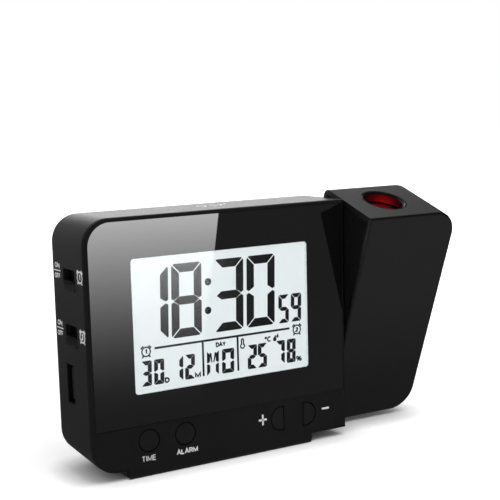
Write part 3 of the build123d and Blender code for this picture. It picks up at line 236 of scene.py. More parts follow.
LIT = {
    "0": "abcdef", "1": "bc", "2": "abdeg", "3": "abcdg", "4": "bcfg", "5": "acdfg",
    "6": "acdefg", "7": "abc", "8": "abcdefg", "9": "abcdfg", " ": "",
}
LEAN = 0.025                            # of the display's figures: u grows by this share of v
RULE = 0.76                             # width of the lines that divide the display
ROW_FOOT = 28.36                        # of the small figures along the display's foot
ROW_HEIGHT = 8.7
ROW_GAP = 0.06
TIME_GAP = 0.34
SECONDS_GAP = 0.18


def segment(letter, width, height, stroke, gap):
    """The outline of one segment of an upright figure whose lower left corner is at (0, 0). Segments a, b and g
    are drawn, with the figure's outer corner an arc cut on its diagonal, and the rest are mirror images. The
    arc's radius and the slanted ends are shares of the stroke."""
    corner = stroke * 0.36
    step = gap * 0.71
    middle = height / 2
    if letter in "ad":
        left = arc((corner, height - corner), corner, 135, 90) + (step, 0)
        right = arc((width - corner, height - corner), corner, 90, 45) - (step, 0)
        inner = [(width - stroke - step, height - stroke), (stroke + step, height - stroke)]
        outline = np.vstack([left, right, inner])
    elif letter == "g":
        tip, slope, half = stroke * 0.31, stroke * 0.62, stroke * 0.47
        outline = np.array([
            (tip, middle), (tip + slope, middle - half), (width - tip - slope, middle - half),
            (width - tip, middle), (width - tip - slope, middle + half), (tip + slope, middle + half),
        ])
    else:
        bend = arc((width - corner, height - corner), corner, 45, 0) - (0, step)
        outline = np.vstack([bend, [
            (width, middle + stroke * 0.28), (width - stroke * 0.31, middle + stroke * 0.1),
            (width - stroke, middle + stroke * 0.54), (width - stroke, height - stroke - step),
        ]])
    if letter in "dce":
        outline = outline * (1, -1) + (0, height)
    if letter in "fe":
        outline = outline * (-1, 1) + (width, 0)
    return outline


def lit_segments(face, letters, start, size, stroke, gap, layer):
    """Plates for the named segments of one figure of size = (width, height) at start, leaning by u + LEAN v."""
    outlines = (segment(letter, *size, stroke, gap) for letter in letters)
    return [plate(face, outline + outline[:, 1:] * (LEAN, 0) + start, layer) for outline in outlines]


def figures(face, text, starts, bottom, size, stroke, gap, layer):
    """Plates for a row of figures."""
    parts = []
    for figure, start in zip(text, starts):
        parts += lit_segments(face, LIT[figure], (start, bottom), size, stroke, gap, layer)
    return parts


def alarm_mark(face, centre, number, radius, line, layer):
    """A bell clock: a round case, a cap and a foot on each side, and its number."""
    centre = np.array(centre, float)
    parts = [ribbon(face, ring(centre, radius, 20), line, layer, closed=True)]
    for side in (-1, 1):
        cap = arc(centre, radius * 1.36, 90 + side * 26, 90 + side * 60, 6)
        foot = centre + np.array([(side * 0.66, -0.86), (side * 0.95, -1.26)]) * radius
        parts += [ribbon(face, path, line * 1.2, layer) for path in (cap, foot)]
    width = radius * (0.8 if number == "2" else 0.5)
    return parts + word(face, number, centre, (width, radius * 1.12), line * 1.1, layer)


# ---------------------------------------------------------------- finishes


def start_finish(name):
    """A material, its node tree and its shader, whose sockets then take the plain values."""
    material = bpy.data.materials.new(name)
    material.use_nodes = True
    return material, material.node_tree, material.node_tree.nodes["Principled BSDF"]


def settle(shader, **values):
    """Sets plain values on the shader's own sockets, named with _ for a space."""
    for key, value in values.items():
        shader.inputs[key.replace("_", " ")].default_value = value


def own_place(tree):
    """The place on the piece, in metres."""
    return tree.nodes.new("ShaderNodeTexCoord").outputs["Object"]


def along(tree, axis):
    """The place along an axis, in metres."""
    split = tree.nodes.new("ShaderNodeSeparateXYZ")
    tree.links.new(own_place(tree), split.inputs["Vector"])
    return split.outputs[axis]


def reckoned(tree, operation, *values):
    """A Math node over sockets and plain numbers."""
    node = tree.nodes.new("ShaderNodeMath")
    node.operation = operation
    for socket, value in zip(node.inputs, values):
        if isinstance(value, bpy.types.NodeSocket):
            tree.links.new(value, socket)
        else:
            socket.default_value = value
    return node.outputs[0]


def distance(tree, vector):
    """The length of a vector."""
    node = tree.nodes.new("ShaderNodeVectorMath")
    node.operation = "LENGTH"
    tree.links.new(vector, node.inputs[0])
    return node.outputs["Value"]


def pattern(tree, size, detail=2.0, stretch=(1, 1, 1)):
    """Noise whose features measure size in millimetres, read from Object coordinates."""
    mapping = tree.nodes.new("ShaderNodeMapping")
    mapping.inputs["Scale"].default_value = stretch
    noise = tree.nodes.new("ShaderNodeTexNoise")
    noise.inputs["Scale"].default_value = 1 / (size * MM)
    noise.inputs["Detail"].default_value = detail
    tree.links.new(own_place(tree), mapping.inputs["Vector"])
    tree.links.new(mapping.outputs["Vector"], noise.inputs["Vector"])
    return noise.outputs["Fac"]


def spread(tree, socket, low, high, start=0.3, stop=0.7):
    """Maps the range start to stop of a pattern to the range low to high."""
    node = tree.nodes.new("ShaderNodeMapRange")
    node.inputs["From Min"].default_value = start
    node.inputs["From Max"].default_value = stop
    node.inputs["To Min"].default_value = low
    node.inputs["To Max"].default_value = high
    tree.links.new(socket, node.inputs["Value"])
    return node.outputs["Result"]


def tone(tree, socket, first, second):
    """Blends two colours by a value from 0 to 1."""
    node = tree.nodes.new("ShaderNodeMix")
    node.data_type = "RGBA"
    node.inputs["A"].default_value = (*first, 1)
    node.inputs["B"].default_value = (*second, 1)
    tree.links.new(socket, node.inputs["Factor"])
    return node.outputs["Result"]


def relief(tree, shader, socket, depth):
    """Bump of that depth in millimetres."""
    node = tree.nodes.new("ShaderNodeBump")
    node.inputs["Distance"].default_value = depth * MM
    tree.links.new(socket, node.inputs["Height"])
    tree.links.new(node.outputs["Normal"], shader.inputs["Normal"])


def scaled(colour, factor):
    """A colour times a factor, up to white."""
    return tuple(min(1.0, part * factor) for part in colour[:3])


def moulded(name, colour, roughness, grain, depth, specular=0.5):
    """Moulded plastic: a fine spark-eroded grain, with slow changes of tone and of gloss over the part."""
    material, tree, shader = start_finish(name)
    slow = pattern(tree, 14.0, 3.0)
    fine = pattern(tree, grain, 2.0)
    tree.links.new(tone(tree, spread(tree, slow, 0, 1), scaled(colour, 0.9), scaled(colour, 1.12)),
                   shader.inputs["Base Color"])
    tree.links.new(spread(tree, fine, roughness - 0.05, roughness + 0.06), shader.inputs["Roughness"])
    relief(tree, shader, fine, depth)
    settle(shader, IOR=1.5, Specular_IOR_Level=specular)
    return material


def polished(name, colour, roughness, specular):
    """Polished plastic sheet: slight waviness, and hairlines and dust that only change its gloss."""
    material, tree, shader = start_finish(name)
    wave = pattern(tree, 22.0, 1.0)
    hair = pattern(tree, 0.35, 2.0, (0.06, 1, 1))
    dust = pattern(tree, 0.5, 1.0)
    tree.links.new(tone(tree, spread(tree, dust, 0, 1, 0.74, 0.8), scaled(colour, 1), scaled(colour, 1.6)),
                   shader.inputs["Base Color"])
    tree.links.new(spread(tree, hair, roughness, roughness + 0.05, 0.6, 0.75), shader.inputs["Roughness"])
    relief(tree, shader, wave, 0.004)
    settle(shader, IOR=1.5, Specular_IOR_Level=specular)
    return material


def rubber(name, colour):
    """Soft rubber with a dull bloom."""
    material, tree, shader = start_finish(name)
    bloom = pattern(tree, 5.0, 4.0)
    tree.links.new(tone(tree, spread(tree, bloom, 0, 1), scaled(colour, 0.8), scaled(colour, 1.5)),
                   shader.inputs["Base Color"])
    tree.links.new(spread(tree, bloom, 0.7, 0.9), shader.inputs["Roughness"])
    relief(tree, shader, pattern(tree, 0.4), 0.03)
    settle(shader, Specular_IOR_Level=0.3)
    return material


def metal(name, colour, roughness, stretch=(1, 1, 1)):
    """Plated or rolled metal, brushed along the axis whose stretch is small."""
    material, tree, shader = start_finish(name)
    lines = pattern(tree, 0.12, 3.0, stretch)
    tree.links.new(tone(tree, spread(tree, lines, 0, 1), scaled(colour, 0.88), scaled(colour, 1.08)),
                   shader.inputs["Base Color"])
    tree.links.new(spread(tree, lines, roughness - 0.06, roughness + 0.1), shader.inputs["Roughness"])
    relief(tree, shader, lines, 0.004)
    settle(shader, Metallic=1.0)
    return material


def clear(name, colour, roughness, reflects=1.0, glow=None, strength=0.0, reach=None):
    """Clear acrylic with a faint haze. With glow it gives off light of its own: on the LED that is its lamp, and on
    the projection lens and the image film painted light that stands for the lamp's light shining through them. An
    anti-glare coat lets it reflect only a share of what bare plastic does. With reach, two radii in millimetres,
    the glow falls to nothing between those distances |(p - a) x d| from the projector's axis through a along d."""
    material, tree, shader = start_finish(name)
    haze = pattern(tree, 6.0, 2.0)
    tree.links.new(tone(tree, spread(tree, haze, 0, 1), scaled(colour, 0.99), scaled(colour, 1.0)),
                   shader.inputs["Base Color"])
    tree.links.new(spread(tree, haze, roughness, roughness + 0.01), shader.inputs["Roughness"])
    settle(shader, IOR=1.49, Transmission_Weight=1.0, Specular_Tint=(reflects, reflects, reflects, 1))
    if glow:
        settle(shader, Emission_Color=(*glow, 1), Emission_Strength=strength)
    if reach:
        from_axis = own_place(tree)
        for operation, value in (("SUBTRACT", LAMP_POINT), ("CROSS_PRODUCT", LAMP_AXIS)):
            node = tree.nodes.new("ShaderNodeVectorMath")
            node.operation = operation
            node.inputs[1].default_value = value
            tree.links.new(from_axis, node.inputs[0])
            from_axis = node.outputs["Vector"]
        fade = spread(tree, distance(tree, from_axis), strength, 0, reach[0] * MM, reach[1] * MM)
        tree.links.new(fade, shader.inputs["Emission Strength"])
    return material


def board_finish(name, colour):
    """Solder resist over tracks: cells of a Voronoi pattern on a 1.6 mm grid, edged by lines of bare resist."""
    material, tree, shader = start_finish(name)
    cells = tree.nodes.new("ShaderNodeTexVoronoi")
    cells.distance = "CHEBYCHEV"
    cells.inputs["Scale"].default_value = 1 / (1.6 * MM)
    cells.inputs["Randomness"].default_value = 0.35
    tree.links.new(own_place(tree), cells.inputs["Vector"])
    tracks = spread(tree, cells.outputs["Distance"], 0, 1, 0.38, 0.42)
    tree.links.new(tone(tree, tracks, scaled(colour, 1.7), colour[:3]), shader.inputs["Base Color"])
    tree.links.new(spread(tree, pattern(tree, 2.0), 0.28, 0.4), shader.inputs["Roughness"])
    relief(tree, shader, tracks, 0.03)
    return material


def printed(name, colour):
    """Pad-printed ink: thin enough that its density and its gloss vary a little."""
    material, tree, shader = start_finish(name)
    density = pattern(tree, 0.5, 3.0)
    tree.links.new(tone(tree, spread(tree, density, 0, 1), scaled(colour, 0.86), colour[:3]),
                   shader.inputs["Base Color"])
    tree.links.new(spread(tree, density, 0.45, 0.6), shader.inputs["Roughness"])
    return material


def sleeve(name, colour, band):
    """A battery sleeve: a plain colour with one plain band at the end nearest +X, under clear lacquer."""
    material, tree, shader = start_finish(name)
    edge = spread(tree, along(tree, "X"), 0, 1, 0.0125, 0.0128)
    tree.links.new(tone(tree, edge, colour, band), shader.inputs["Base Color"])
    tree.links.new(spread(tree, pattern(tree, 3.0), 0.25, 0.35), shader.inputs["Roughness"])
    settle(shader, Coat_Weight=0.4)
    return material


def backlit(name, colour, strength):
    """A reflective display cell lit from behind: a fine grain, and a glow that is slightly uneven."""
    material, tree, shader = start_finish(name)
    slow = pattern(tree, 60.0, 1.0)
    even = tone(tree, spread(tree, slow, 0, 1), scaled(colour, 0.985), scaled(colour, 1.015))
    tree.links.new(even, shader.inputs["Base Color"])
    tree.links.new(even, shader.inputs["Emission Color"])
    relief(tree, shader, pattern(tree, 0.2), 0.003)
    settle(shader, Roughness=0.4, Emission_Strength=strength, Specular_IOR_Level=0.2)
    return material


def dye(name, colour):
    """The dark state of a display segment, with a faint cloudiness."""
    material, tree, shader = start_finish(name)
    cloud = pattern(tree, 4.0, 2.0)
    tree.links.new(tone(tree, spread(tree, cloud, 0, 1), scaled(colour, 0.8), scaled(colour, 1.3)),
                   shader.inputs["Base Color"])
    settle(shader, Roughness=0.5, Specular_IOR_Level=0.2)
    return material


def dress(material, *names):
    """Gives a material to every slot of the named CAD nodes."""
    for name in names:
        mesh = nodes[name].data
        mesh.materials.clear()
        mesh.materials.append(material)


# ---------------------------------------------------------------- settings


class ClockDisplaySettings(bpy.types.PropertyGroup):
    hours_minutes: bpy.props.StringProperty(name="Time", description="Four figures of the time", default="1830")
    seconds: bpy.props.StringProperty(name="Seconds", description="Two figures", default="59")
    day: bpy.props.StringProperty(name="Day", description="Day of the month", default="30")
    month: bpy.props.StringProperty(name="Month", description="Number of the month", default="12")
    temperature: bpy.props.StringProperty(name="Temperature", description="Degrees", default="25")
    humidity: bpy.props.StringProperty(name="Humidity", description="Per cent", default="78")
    field: bpy.props.FloatVectorProperty(
        name="Field", description="Colour of the lit display", subtype="COLOR", default=(0.36, 0.385, 0.39))
    glow: bpy.props.FloatProperty(name="Backlight", description="Strength of the backlight", default=1.47, min=0)
    segment: bpy.props.FloatVectorProperty(
        name="Segments", description="Colour of a dark segment", subtype="COLOR",
        default=(0.0012, 0.0012, 0.0014))
    large_stroke: bpy.props.FloatProperty(
        name="Large stroke", description="Stroke of the time, in millimetres", default=3.05, min=0.5)
    small_stroke: bpy.props.FloatProperty(
        name="Small stroke", description="Stroke of the date, in millimetres", default=1.5, min=0.2)


class ClockFinishSettings(bpy.types.PropertyGroup):
    shell: bpy.props.FloatVectorProperty(
        name="Shell", description="Colour of the housing", subtype="COLOR", default=(0.0135, 0.0135, 0.0135))
    arm: bpy.props.FloatVectorProperty(
        name="Arm", description="Colour of the projector arm", subtype="COLOR", default=(0.004, 0.004, 0.004))
    frame: bpy.props.FloatVectorProperty(
        name="Front frame", description="Colour of the front frame", subtype="COLOR",
        default=(0.009, 0.009, 0.009))
    panel: bpy.props.FloatVectorProperty(
        name="Panel", description="Colour of the polished panel", subtype="COLOR",
        default=(0.0045, 0.0045, 0.0045))
    legend: bpy.props.FloatVectorProperty(
        name="Legends", description="Colour of the printed legends", subtype="COLOR", default=(0.9, 0.9, 0.9))
    beam: bpy.props.FloatVectorProperty(
        name="Projector light", description="Colour of the projector's light", subtype="COLOR",
        default=(1, 0.004, 0.003))
    grain: bpy.props.FloatProperty(
        name="Grain", description="Size of the moulded grain, in millimetres", default=0.3, min=0.05)


class ClockStageSettings(bpy.types.PropertyGroup):
    floor: bpy.props.FloatVectorProperty(
        name="Floor", description="Colour of the floor", subtype="COLOR", default=(0.8, 0.8, 0.8))
    ambient: bpy.props.FloatProperty(name="Ambient", description="Light from all round", default=0.45, min=0)
    key: bpy.props.FloatProperty(
        name="Key light", description="Power of the large lamp, in watts", default=7.0, min=0)
    card: bpy.props.FloatProperty(
        name="Panel card", description="Brightness of the card that the polished panel shows", default=11.85, min=0)
    back_card: bpy.props.FloatProperty(
        name="Back card", description="Brightness of the card that the top shows", default=4.6, min=0)
    grey_card: bpy.props.FloatProperty(
        name="Grey cards", description="Brightness of the cards in front and below", default=0.25, min=0)
    left_card: bpy.props.FloatProperty(
        name="Left card", description="Brightness of the card at the left", default=0.13, min=0)
    ceiling_card: bpy.props.FloatProperty(
        name="Ceiling card", description="Brightness of the card overhead", default=0.5, min=0)
    floor_glow: bpy.props.FloatProperty(
        name="Floor lift", description="Light that the eye adds to the floor's own", default=0.5, min=0)
    lens: bpy.props.FloatProperty(
        name="Focal length", description="Camera focal length, in millimetres", default=85.94, min=10)


# ---------------------------------------------------------------- camera and stage


class CLOCK_OT_camera(bpy.types.Operator):
    """Place the camera a little to the left of the display and above it"""

    bl_idname = "clock.camera"
    bl_label = "Camera"

    def execute(self, context):
        data = bpy.data.cameras.new("camera")
        data.sensor_width = 36.0
        data.lens = context.scene.clock_stage.lens
        data.shift_y = CAMERA_SHIFT
        data.clip_start = 0.01
        camera = bpy.data.objects.new("camera", data)
        turn = Matrix.Identity(3)
        for angle, axis in CAMERA_TURNS:
            turn = turn @ Matrix.Rotation(angle, 3, axis)
        right, forward, up = turn.col
        axes = Matrix((right, up, -forward)).transposed().to_4x4()
        camera.matrix_world = Matrix.Translation(CAMERA_PLACE) @ axes
        context.scene.collection.objects.link(camera)
        context.scene.camera = camera
        return {"FINISHED"}


def rays(tree, *kinds):
    """1 for rays of any of these kinds, otherwise 0."""
    path = tree.nodes.new("ShaderNodeLightPath")
    total = path.outputs[f"Is {kinds[0]} Ray"]
    for kind in kinds[1:]:
        total = reckoned(tree, "MAXIMUM", total, path.outputs[f"Is {kind} Ray"])
    return total


def flat_grid(corners, count):
    """A sheet stretched over four corners a, b, c, d: (1 - s)(1 - t) a + s (1 - t) b + s t c + (1 - s) t d, on a
    grid of s and t from 0 to 1."""
    s, t = np.meshgrid(np.linspace(0, 1, count), np.linspace(0, 1, count), indexing="ij")
    shares = np.stack([(1 - s) * (1 - t), s * (1 - t), s * t, (1 - s) * t], -1)
    points = shares @ np.asarray(corners, float)
    cell = np.arange(count * count).reshape(count, count)
    quads = np.stack([cell[:-1, :-1], cell[1:, :-1], cell[1:, 1:], cell[:-1, 1:]], -1).reshape(-1, 4)
    return points.reshape(-1, 3), quads.tolist()


def stage_sheet(name, corners, material, count=2):
    """A sheet of the studio, with count by count points."""
    sheet = add_mesh(name, *flat_grid(corners, count), material)
    return sheet


def card(name, corners, material, *receivers):
    """A studio card that gloss shows, also through clear parts, and that neither lights nor shades anything. With
    receivers, only those CAD nodes show its light, as a flag would keep it off the rest."""
    sheet = stage_sheet(name, corners, material)
    if receivers:
        lit = bpy.data.collections.new(f"{name}_receivers")
        for receiver in receivers:
            lit.objects.link(nodes[receiver])
        sheet.light_linking.receiver_collection = lit
    sheet.visible_camera = False
    sheet.visible_diffuse = False
    sheet.visible_volume_scatter = False
    sheet.visible_shadow = False


def upright(y, left, right, bottom, top, lean=0.0):
    """Corners of an upright card facing along Y, whose right edge leans outwards by lean at its top."""
    return [(left, y, bottom), (right, y, bottom), (right + lean, y, top), (left, y, top)]


def across(x, front, back, bottom, top):
    """Corners of an upright card facing along X."""
    return [(x, front, bottom), (x, back, bottom), (x, back, top), (x, front, top)]


def level(z, left, right, front, back):
    """Corners of a card that lies level."""
    return [(left, front, z), (right, front, z), (right, back, z), (left, back, z)]


def card_finish(name, strength, fade=None, power=1.0, least=0.0, axis="Z"):
    """A card that gives plain light. With fade, two places along an axis in metres, the light is least + strength
    times the power-th power of the share of the way from the first to the second."""
    material = bpy.data.materials.new(name)
    material.use_nodes = True
    tree = material.node_tree
    tree.nodes.clear()
    light = tree.nodes.new("ShaderNodeEmission")
    path = tree.nodes.new("ShaderNodeLightPath")
    absent = tree.nodes.new("ShaderNodeBsdfTransparent")
    choice = tree.nodes.new("ShaderNodeMixShader")
    out = tree.nodes.new("ShaderNodeOutputMaterial")
    light.inputs["Strength"].default_value = strength
    tree.links.new(path.outputs["Diffuse Depth"], choice.inputs["Fac"])
    tree.links.new(light.outputs["Emission"], choice.inputs[1])
    tree.links.new(absent.outputs["BSDF"], choice.inputs[2])
    tree.links.new(choice.outputs["Shader"], out.inputs["Surface"])
    if fade:
        curve = reckoned(tree, "POWER", spread(tree, along(tree, axis), 0, 1, *fade), power)
        tree.links.new(reckoned(tree, "MULTIPLY_ADD", curve, strength, least), light.inputs["Strength"])
    return material


def aim(lamp, place, target):
    """Puts a lamp at a place, shining towards a target."""
    lamp.location = place
    lamp.rotation_euler = (Vector(target) - Vector(place)).to_track_quat("-Z", "Y").to_euler()


class CLOCK_OT_stage(bpy.types.Operator):
    """Build the pale floor with its painted contact shadow, the soft lamps and the cards that the polished parts
    reflect
    """

    bl_idname = "clock.stage"
    bl_label = "Stage"

    def execute(self, context):
        scene = context.scene
        settings = scene.clock_stage
        scene.view_settings.view_transform = "Standard"

        world = bpy.data.worlds.new("studio")
        scene.world = world
        world.use_nodes = True
        tree = world.node_tree
        sky = tree.nodes["Background"]
        seen = rays(tree, "Camera", "Glossy", "Transmission")
        tree.links.new(spread(tree, seen, settings.ambient, 1.0, 0, 1), sky.inputs["Strength"])
        sky.inputs["Color"].default_value = (1, 1, 1, 1)

        material, tree, shader = start_finish("floor_paint")
        mottle = pattern(tree, 90.0, 2.0)
        paint = tone(tree, spread(tree, mottle, 0, 1), scaled(settings.floor, 0.995), scaled(settings.floor, 1))
        tree.links.new(paint, shader.inputs["Base Color"])
        settle(shader, Roughness=0.9, Specular_IOR_Level=0.0, Emission_Color=(1, 1, 1, 1))
        # Painted shadow: the light added to the floor is least near the clock, rising from the floor lift to 1
        # between 0.1 and 0.5 m out, and is cut by the square of ambient occlusion within 12 mm, a contact shadow
        # painted under the body and foot.
        ao_painted_shadow = tree.nodes.new("ShaderNodeAmbientOcclusion")
        ao_painted_shadow.inputs["Distance"].default_value = 0.012
        lift = spread(tree, distance(tree, own_place(tree)), settings.floor_glow, 1.0, 0.1, 0.5)
        lift = reckoned(tree, "MULTIPLY", lift, rays(tree, "Camera", "Glossy", "Transmission"))
        lift = reckoned(tree, "MULTIPLY", lift, reckoned(tree, "POWER", ao_painted_shadow.outputs["AO"], 2.0))
        tree.links.new(lift, shader.inputs["Emission Strength"])
        stage_sheet("floor", level(0, -3, 3, -3, 3), material, 5)

        black = card_finish("black_card", BLACK)
        grey = settings.grey_card
        floor_grey = card_finish("floor_grey", grey / 2, (-0.02, -0.06), 1.0, grey / 2, "Y")
        ceiling_grey = card_finish("ceiling_grey", settings.ceiling_card)
        card("front_card", upright(FRONT_CARDS_Y, -0.02, 0.85, 0.0, CARD_TOP), card_finish("front_grey", grey))
        card("front_top_card", upright(FRONT_CARDS_Y, -0.35, 0.85, CARD_TOP, 0.6), black)
        card("floor_card", level(0.0008, -0.6, 0.6, -0.6, 0.6), floor_grey)
        card("front_left_card", upright(FRONT_CARDS_Y, -0.35, -0.02, 0.0, CARD_TOP), black)
        card("left_card", across(-0.3, -0.15, 0.75, 0.0, 0.5), card_finish("left_grey", settings.left_card))
        card("right_card", across(0.38, -0.6, 0.3, 0.0, 0.25), black)
        card("ceiling_card", level(CEILING_CARDS_Z, -0.6, 1.2, 0.15, 1.2), ceiling_grey)
        card("front_ceiling_card", level(CEILING_CARDS_Z, -0.6, 1.2, -0.6, 0.15), black)
        shine = card_finish("panel_shine", settings.card, (0.0102, 0.0842), 2.57, grey)
        card("panel_card", upright(-0.04, -0.0461, 0.0018, 0.0102, 0.0906, 0.0127), shine,
             "front_panel", "display_window")
        card("back_card", upright(0.3, 0.0, 0.38, 0.09, 0.25), card_finish("back_white", settings.back_card))

        for name, power, size, place in (
            ("key_lamp", settings.key, 0.8, (0.15, -0.45, 1.1)),
            ("fill_lamp", settings.key * 0.3, 0.9, (-0.8, -0.6, 0.8)),
        ):
            data = bpy.data.lights.new(name, "AREA")
            data.energy = power
            data.size = size
            lamp = bpy.data.objects.new(name, data)
            lamp.visible_glossy = False
            aim(lamp, place, (0, 0, 0.04))
            scene.collection.objects.link(lamp)
        return {"FINISHED"}


# ---------------------------------------------------------------- the clock


class CLOCK_OT_shells(bpy.types.Operator):
    """Finish the moulded shells of the body and of the arm"""

    bl_idname = "clock.shells"
    bl_label = "Shells"

    def execute(self, context):
        settings = context.scene.clock_finish
        dress(moulded("shell_grain", settings.shell, 0.52, settings.grain, 0.02), "rear_housing", "battery_door")
        dress(moulded("arm_grain", settings.arm, 0.4, settings.grain, 0.015, 0.66), "arm_shell")
        # The side cover is the arm's plastic drawn 1.8 times lighter and almost without gloss: a painted-light copy
        # that sets how its face, turned from the light, reads.
        dress(moulded("cover_grain_painted_light", scaled(settings.arm, 1.8), 0.6, settings.grain, 0.02, 0.1), "arm_side_cover")
        # The switch knobs are the shell's plastic drawn at 0.3 of its colour: painted shade that makes them read as
        # dark as the slots they sit in.
        dress(moulded("switch_knob_painted_shade", scaled(settings.shell, 0.3), 0.5, settings.grain, 0.015, 0.2),
              "alarm_1_knob", "alarm_2_knob")
        dress(rubber("foot_rubber", (0.02, 0.02, 0.02)), "foot_pad")
        return {"FINISHED"}


class CLOCK_OT_front(bpy.types.Operator):
    """Finish the front frame, its buttons and the polished panel with its window"""

    bl_idname = "clock.front"
    bl_label = "Front"

    def execute(self, context):
        settings = context.scene.clock_finish
        dress(moulded("frame_satin", settings.frame, 0.7, 0.25, 0.008, 0.28), "front_frame")
        dress(moulded("button_satin", settings.frame, 0.45, 0.25, 0.008, 0.3),
              "time_button", "alarm_button", "plus_button", "minus_button")
        dress(polished("panel_gloss", settings.panel, 0.02, 0.42), "front_panel")
        dress(clear("window_clear", (0.99, 1.0, 1.0), 0.0, reflects=0.29), "display_window")
        return {"FINISHED"}


class CLOCK_OT_inside(bpy.types.Operator):
    """Finish the boards, the display stack, the sockets, the cells and the fasteners"""

    bl_idname = "clock.inside"
    bl_label = "Inside"

    def execute(self, context):
        display = context.scene.clock_display
        dress(backlit("display_cell", display.field, display.glow), "lcd_cell")
        dress(backlit("light_sheet", (0.9, 0.92, 0.9), 0.1), "light_guide")
        dress(moulded("holder_white", (0.75, 0.75, 0.72), 0.45, 0.3, 0.01), "lcd_holder")
        dress(rubber("zebra_rubber", (0.05, 0.05, 0.06)), "lcd_connector")
        dress(clear("led_lens", (0.95, 0.95, 0.8), 0.1), "backlight_leds")
        dress(board_finish("solder_resist", (0.012, 0.09, 0.03)),
              "main_board", "key_board", "switch_board", "power_board", "lamp_board")
        dress(moulded("component_black", (0.02, 0.02, 0.022), 0.5, 0.2, 0.01),
              "controller_chip", "beeper", "climate_sensor", "power_inlet", "usb_tongue", "alarm_1_switch",
              "alarm_2_switch")
        dress(moulded("plunger_grey", (0.2, 0.2, 0.2), 0.45, 0.3, 0.01),
              "time_plunger", "alarm_plunger", "plus_plunger", "minus_plunger")
        dress(metal("plated_sheet", (0.72, 0.71, 0.68), 0.25, (1, 1, 0.1)),
              "key_switches", "battery_contacts")
        dress(metal("black_nickel", (0.09, 0.09, 0.09), 0.45, (1, 1, 0.1)), "usb_shell")
        dress(metal("copper_foil", (0.8, 0.42, 0.24), 0.3, (1, 0.2, 1)), "touch_plate", "touch_lead")
        dress(metal("black_zinc", (0.06, 0.06, 0.062), 0.4), "housing_screws", "arm_screws")
        dress(metal("zinc_steel", (0.55, 0.55, 0.56), 0.35),
              "board_screws", "hub_screws", "pivot_washer", "pivot_clip")
        dress(moulded("natural_acetal", (0.62, 0.62, 0.57), 0.35, 0.5, 0.01), "pivot_bush", "pivot_hub")
        dress(sleeve("cell_sleeve", (0.05, 0.1, 0.2), (0.6, 0.6, 0.6)), "batteries")
        return {"FINISHED"}


class CLOCK_OT_projector(bpy.types.Operator):
    """Finish the projector's ring, barrel, lenses and lamp"""

    bl_idname = "clock.projector"
    bl_label = "Projector"

    def execute(self, context):
        settings = context.scene.clock_finish
        beam = tuple(settings.beam)
        dress(moulded("ring_satin", (0.004, 0.004, 0.004), 0.35, 0.3, 0.004, 0.35), "focus_ring")
        dress(moulded("barrel_black", (0.003, 0.003, 0.003), 0.5, 0.3, 0.01, 0.2), "lens_barrel")
        dress(moulded("lamp_house", (0.02, 0.02, 0.02), 0.6, 0.4, 0.02), "lamp_housing")
        # The projection lens and the image film glow with painted light that stands for the red lamp's light
        # shining through them; the lens's glow fades out from the projector's axis.
        dress(clear("front_lens_painted_glow", (1.0, 0.25, 0.2), 0.02, glow=beam, strength=11.0, reach=(1.5, 6.0)),
              "projection_lens")
        dress(clear("condenser", (1.0, 0.9, 0.9), 0.01), "condenser_lens")
        dress(clear("image_film_painted_glow", (0.6, 0.1, 0.08), 0.1, glow=beam, strength=0.6), "image_cell")
        dress(clear("lamp_dome", (1.0, 0.2, 0.2), 0.05, glow=beam, strength=4.0), "lamp_led")
        dress(rubber("cable_sleeve", (0.02, 0.02, 0.02)), "lamp_cable")
        return {"FINISHED"}


def display_face():
    """The display cell's front, with u and v where an eye in front sees them through the window's thickness."""
    face = face_of("lcd_cell", "front")
    face.origin = face.origin + (0.54, 0, -0.2)
    return face


class CLOCK_OT_time(bpy.types.Operator):
    """Set the large figures of the time, the seconds and the colon on the display"""

    bl_idname = "clock.time"
    bl_label = "Time"

    def execute(self, context):
        display = context.scene.clock_display
        face = display_face()
        parts = figures(face, display.hours_minutes, (17.84, 30.86, 47.77, 60.93), 43.4, (11.8, 25.5),
                        display.large_stroke, TIME_GAP, DISPLAY_LAYER)
        parts += [plate(face, ring(centre, 1.3, 40), DISPLAY_LAYER) for centre in ((45.7, 61.5), (45.4, 51.5))]
        parts += figures(face, display.seconds, (74.36, 79.75), 43.3, (4.5, 10.3),
                         display.small_stroke, SECONDS_GAP, DISPLAY_LAYER)
        make_piece("time_figures", parts, dye("segment_dark", display.segment), "body")
        return {"FINISHED"}


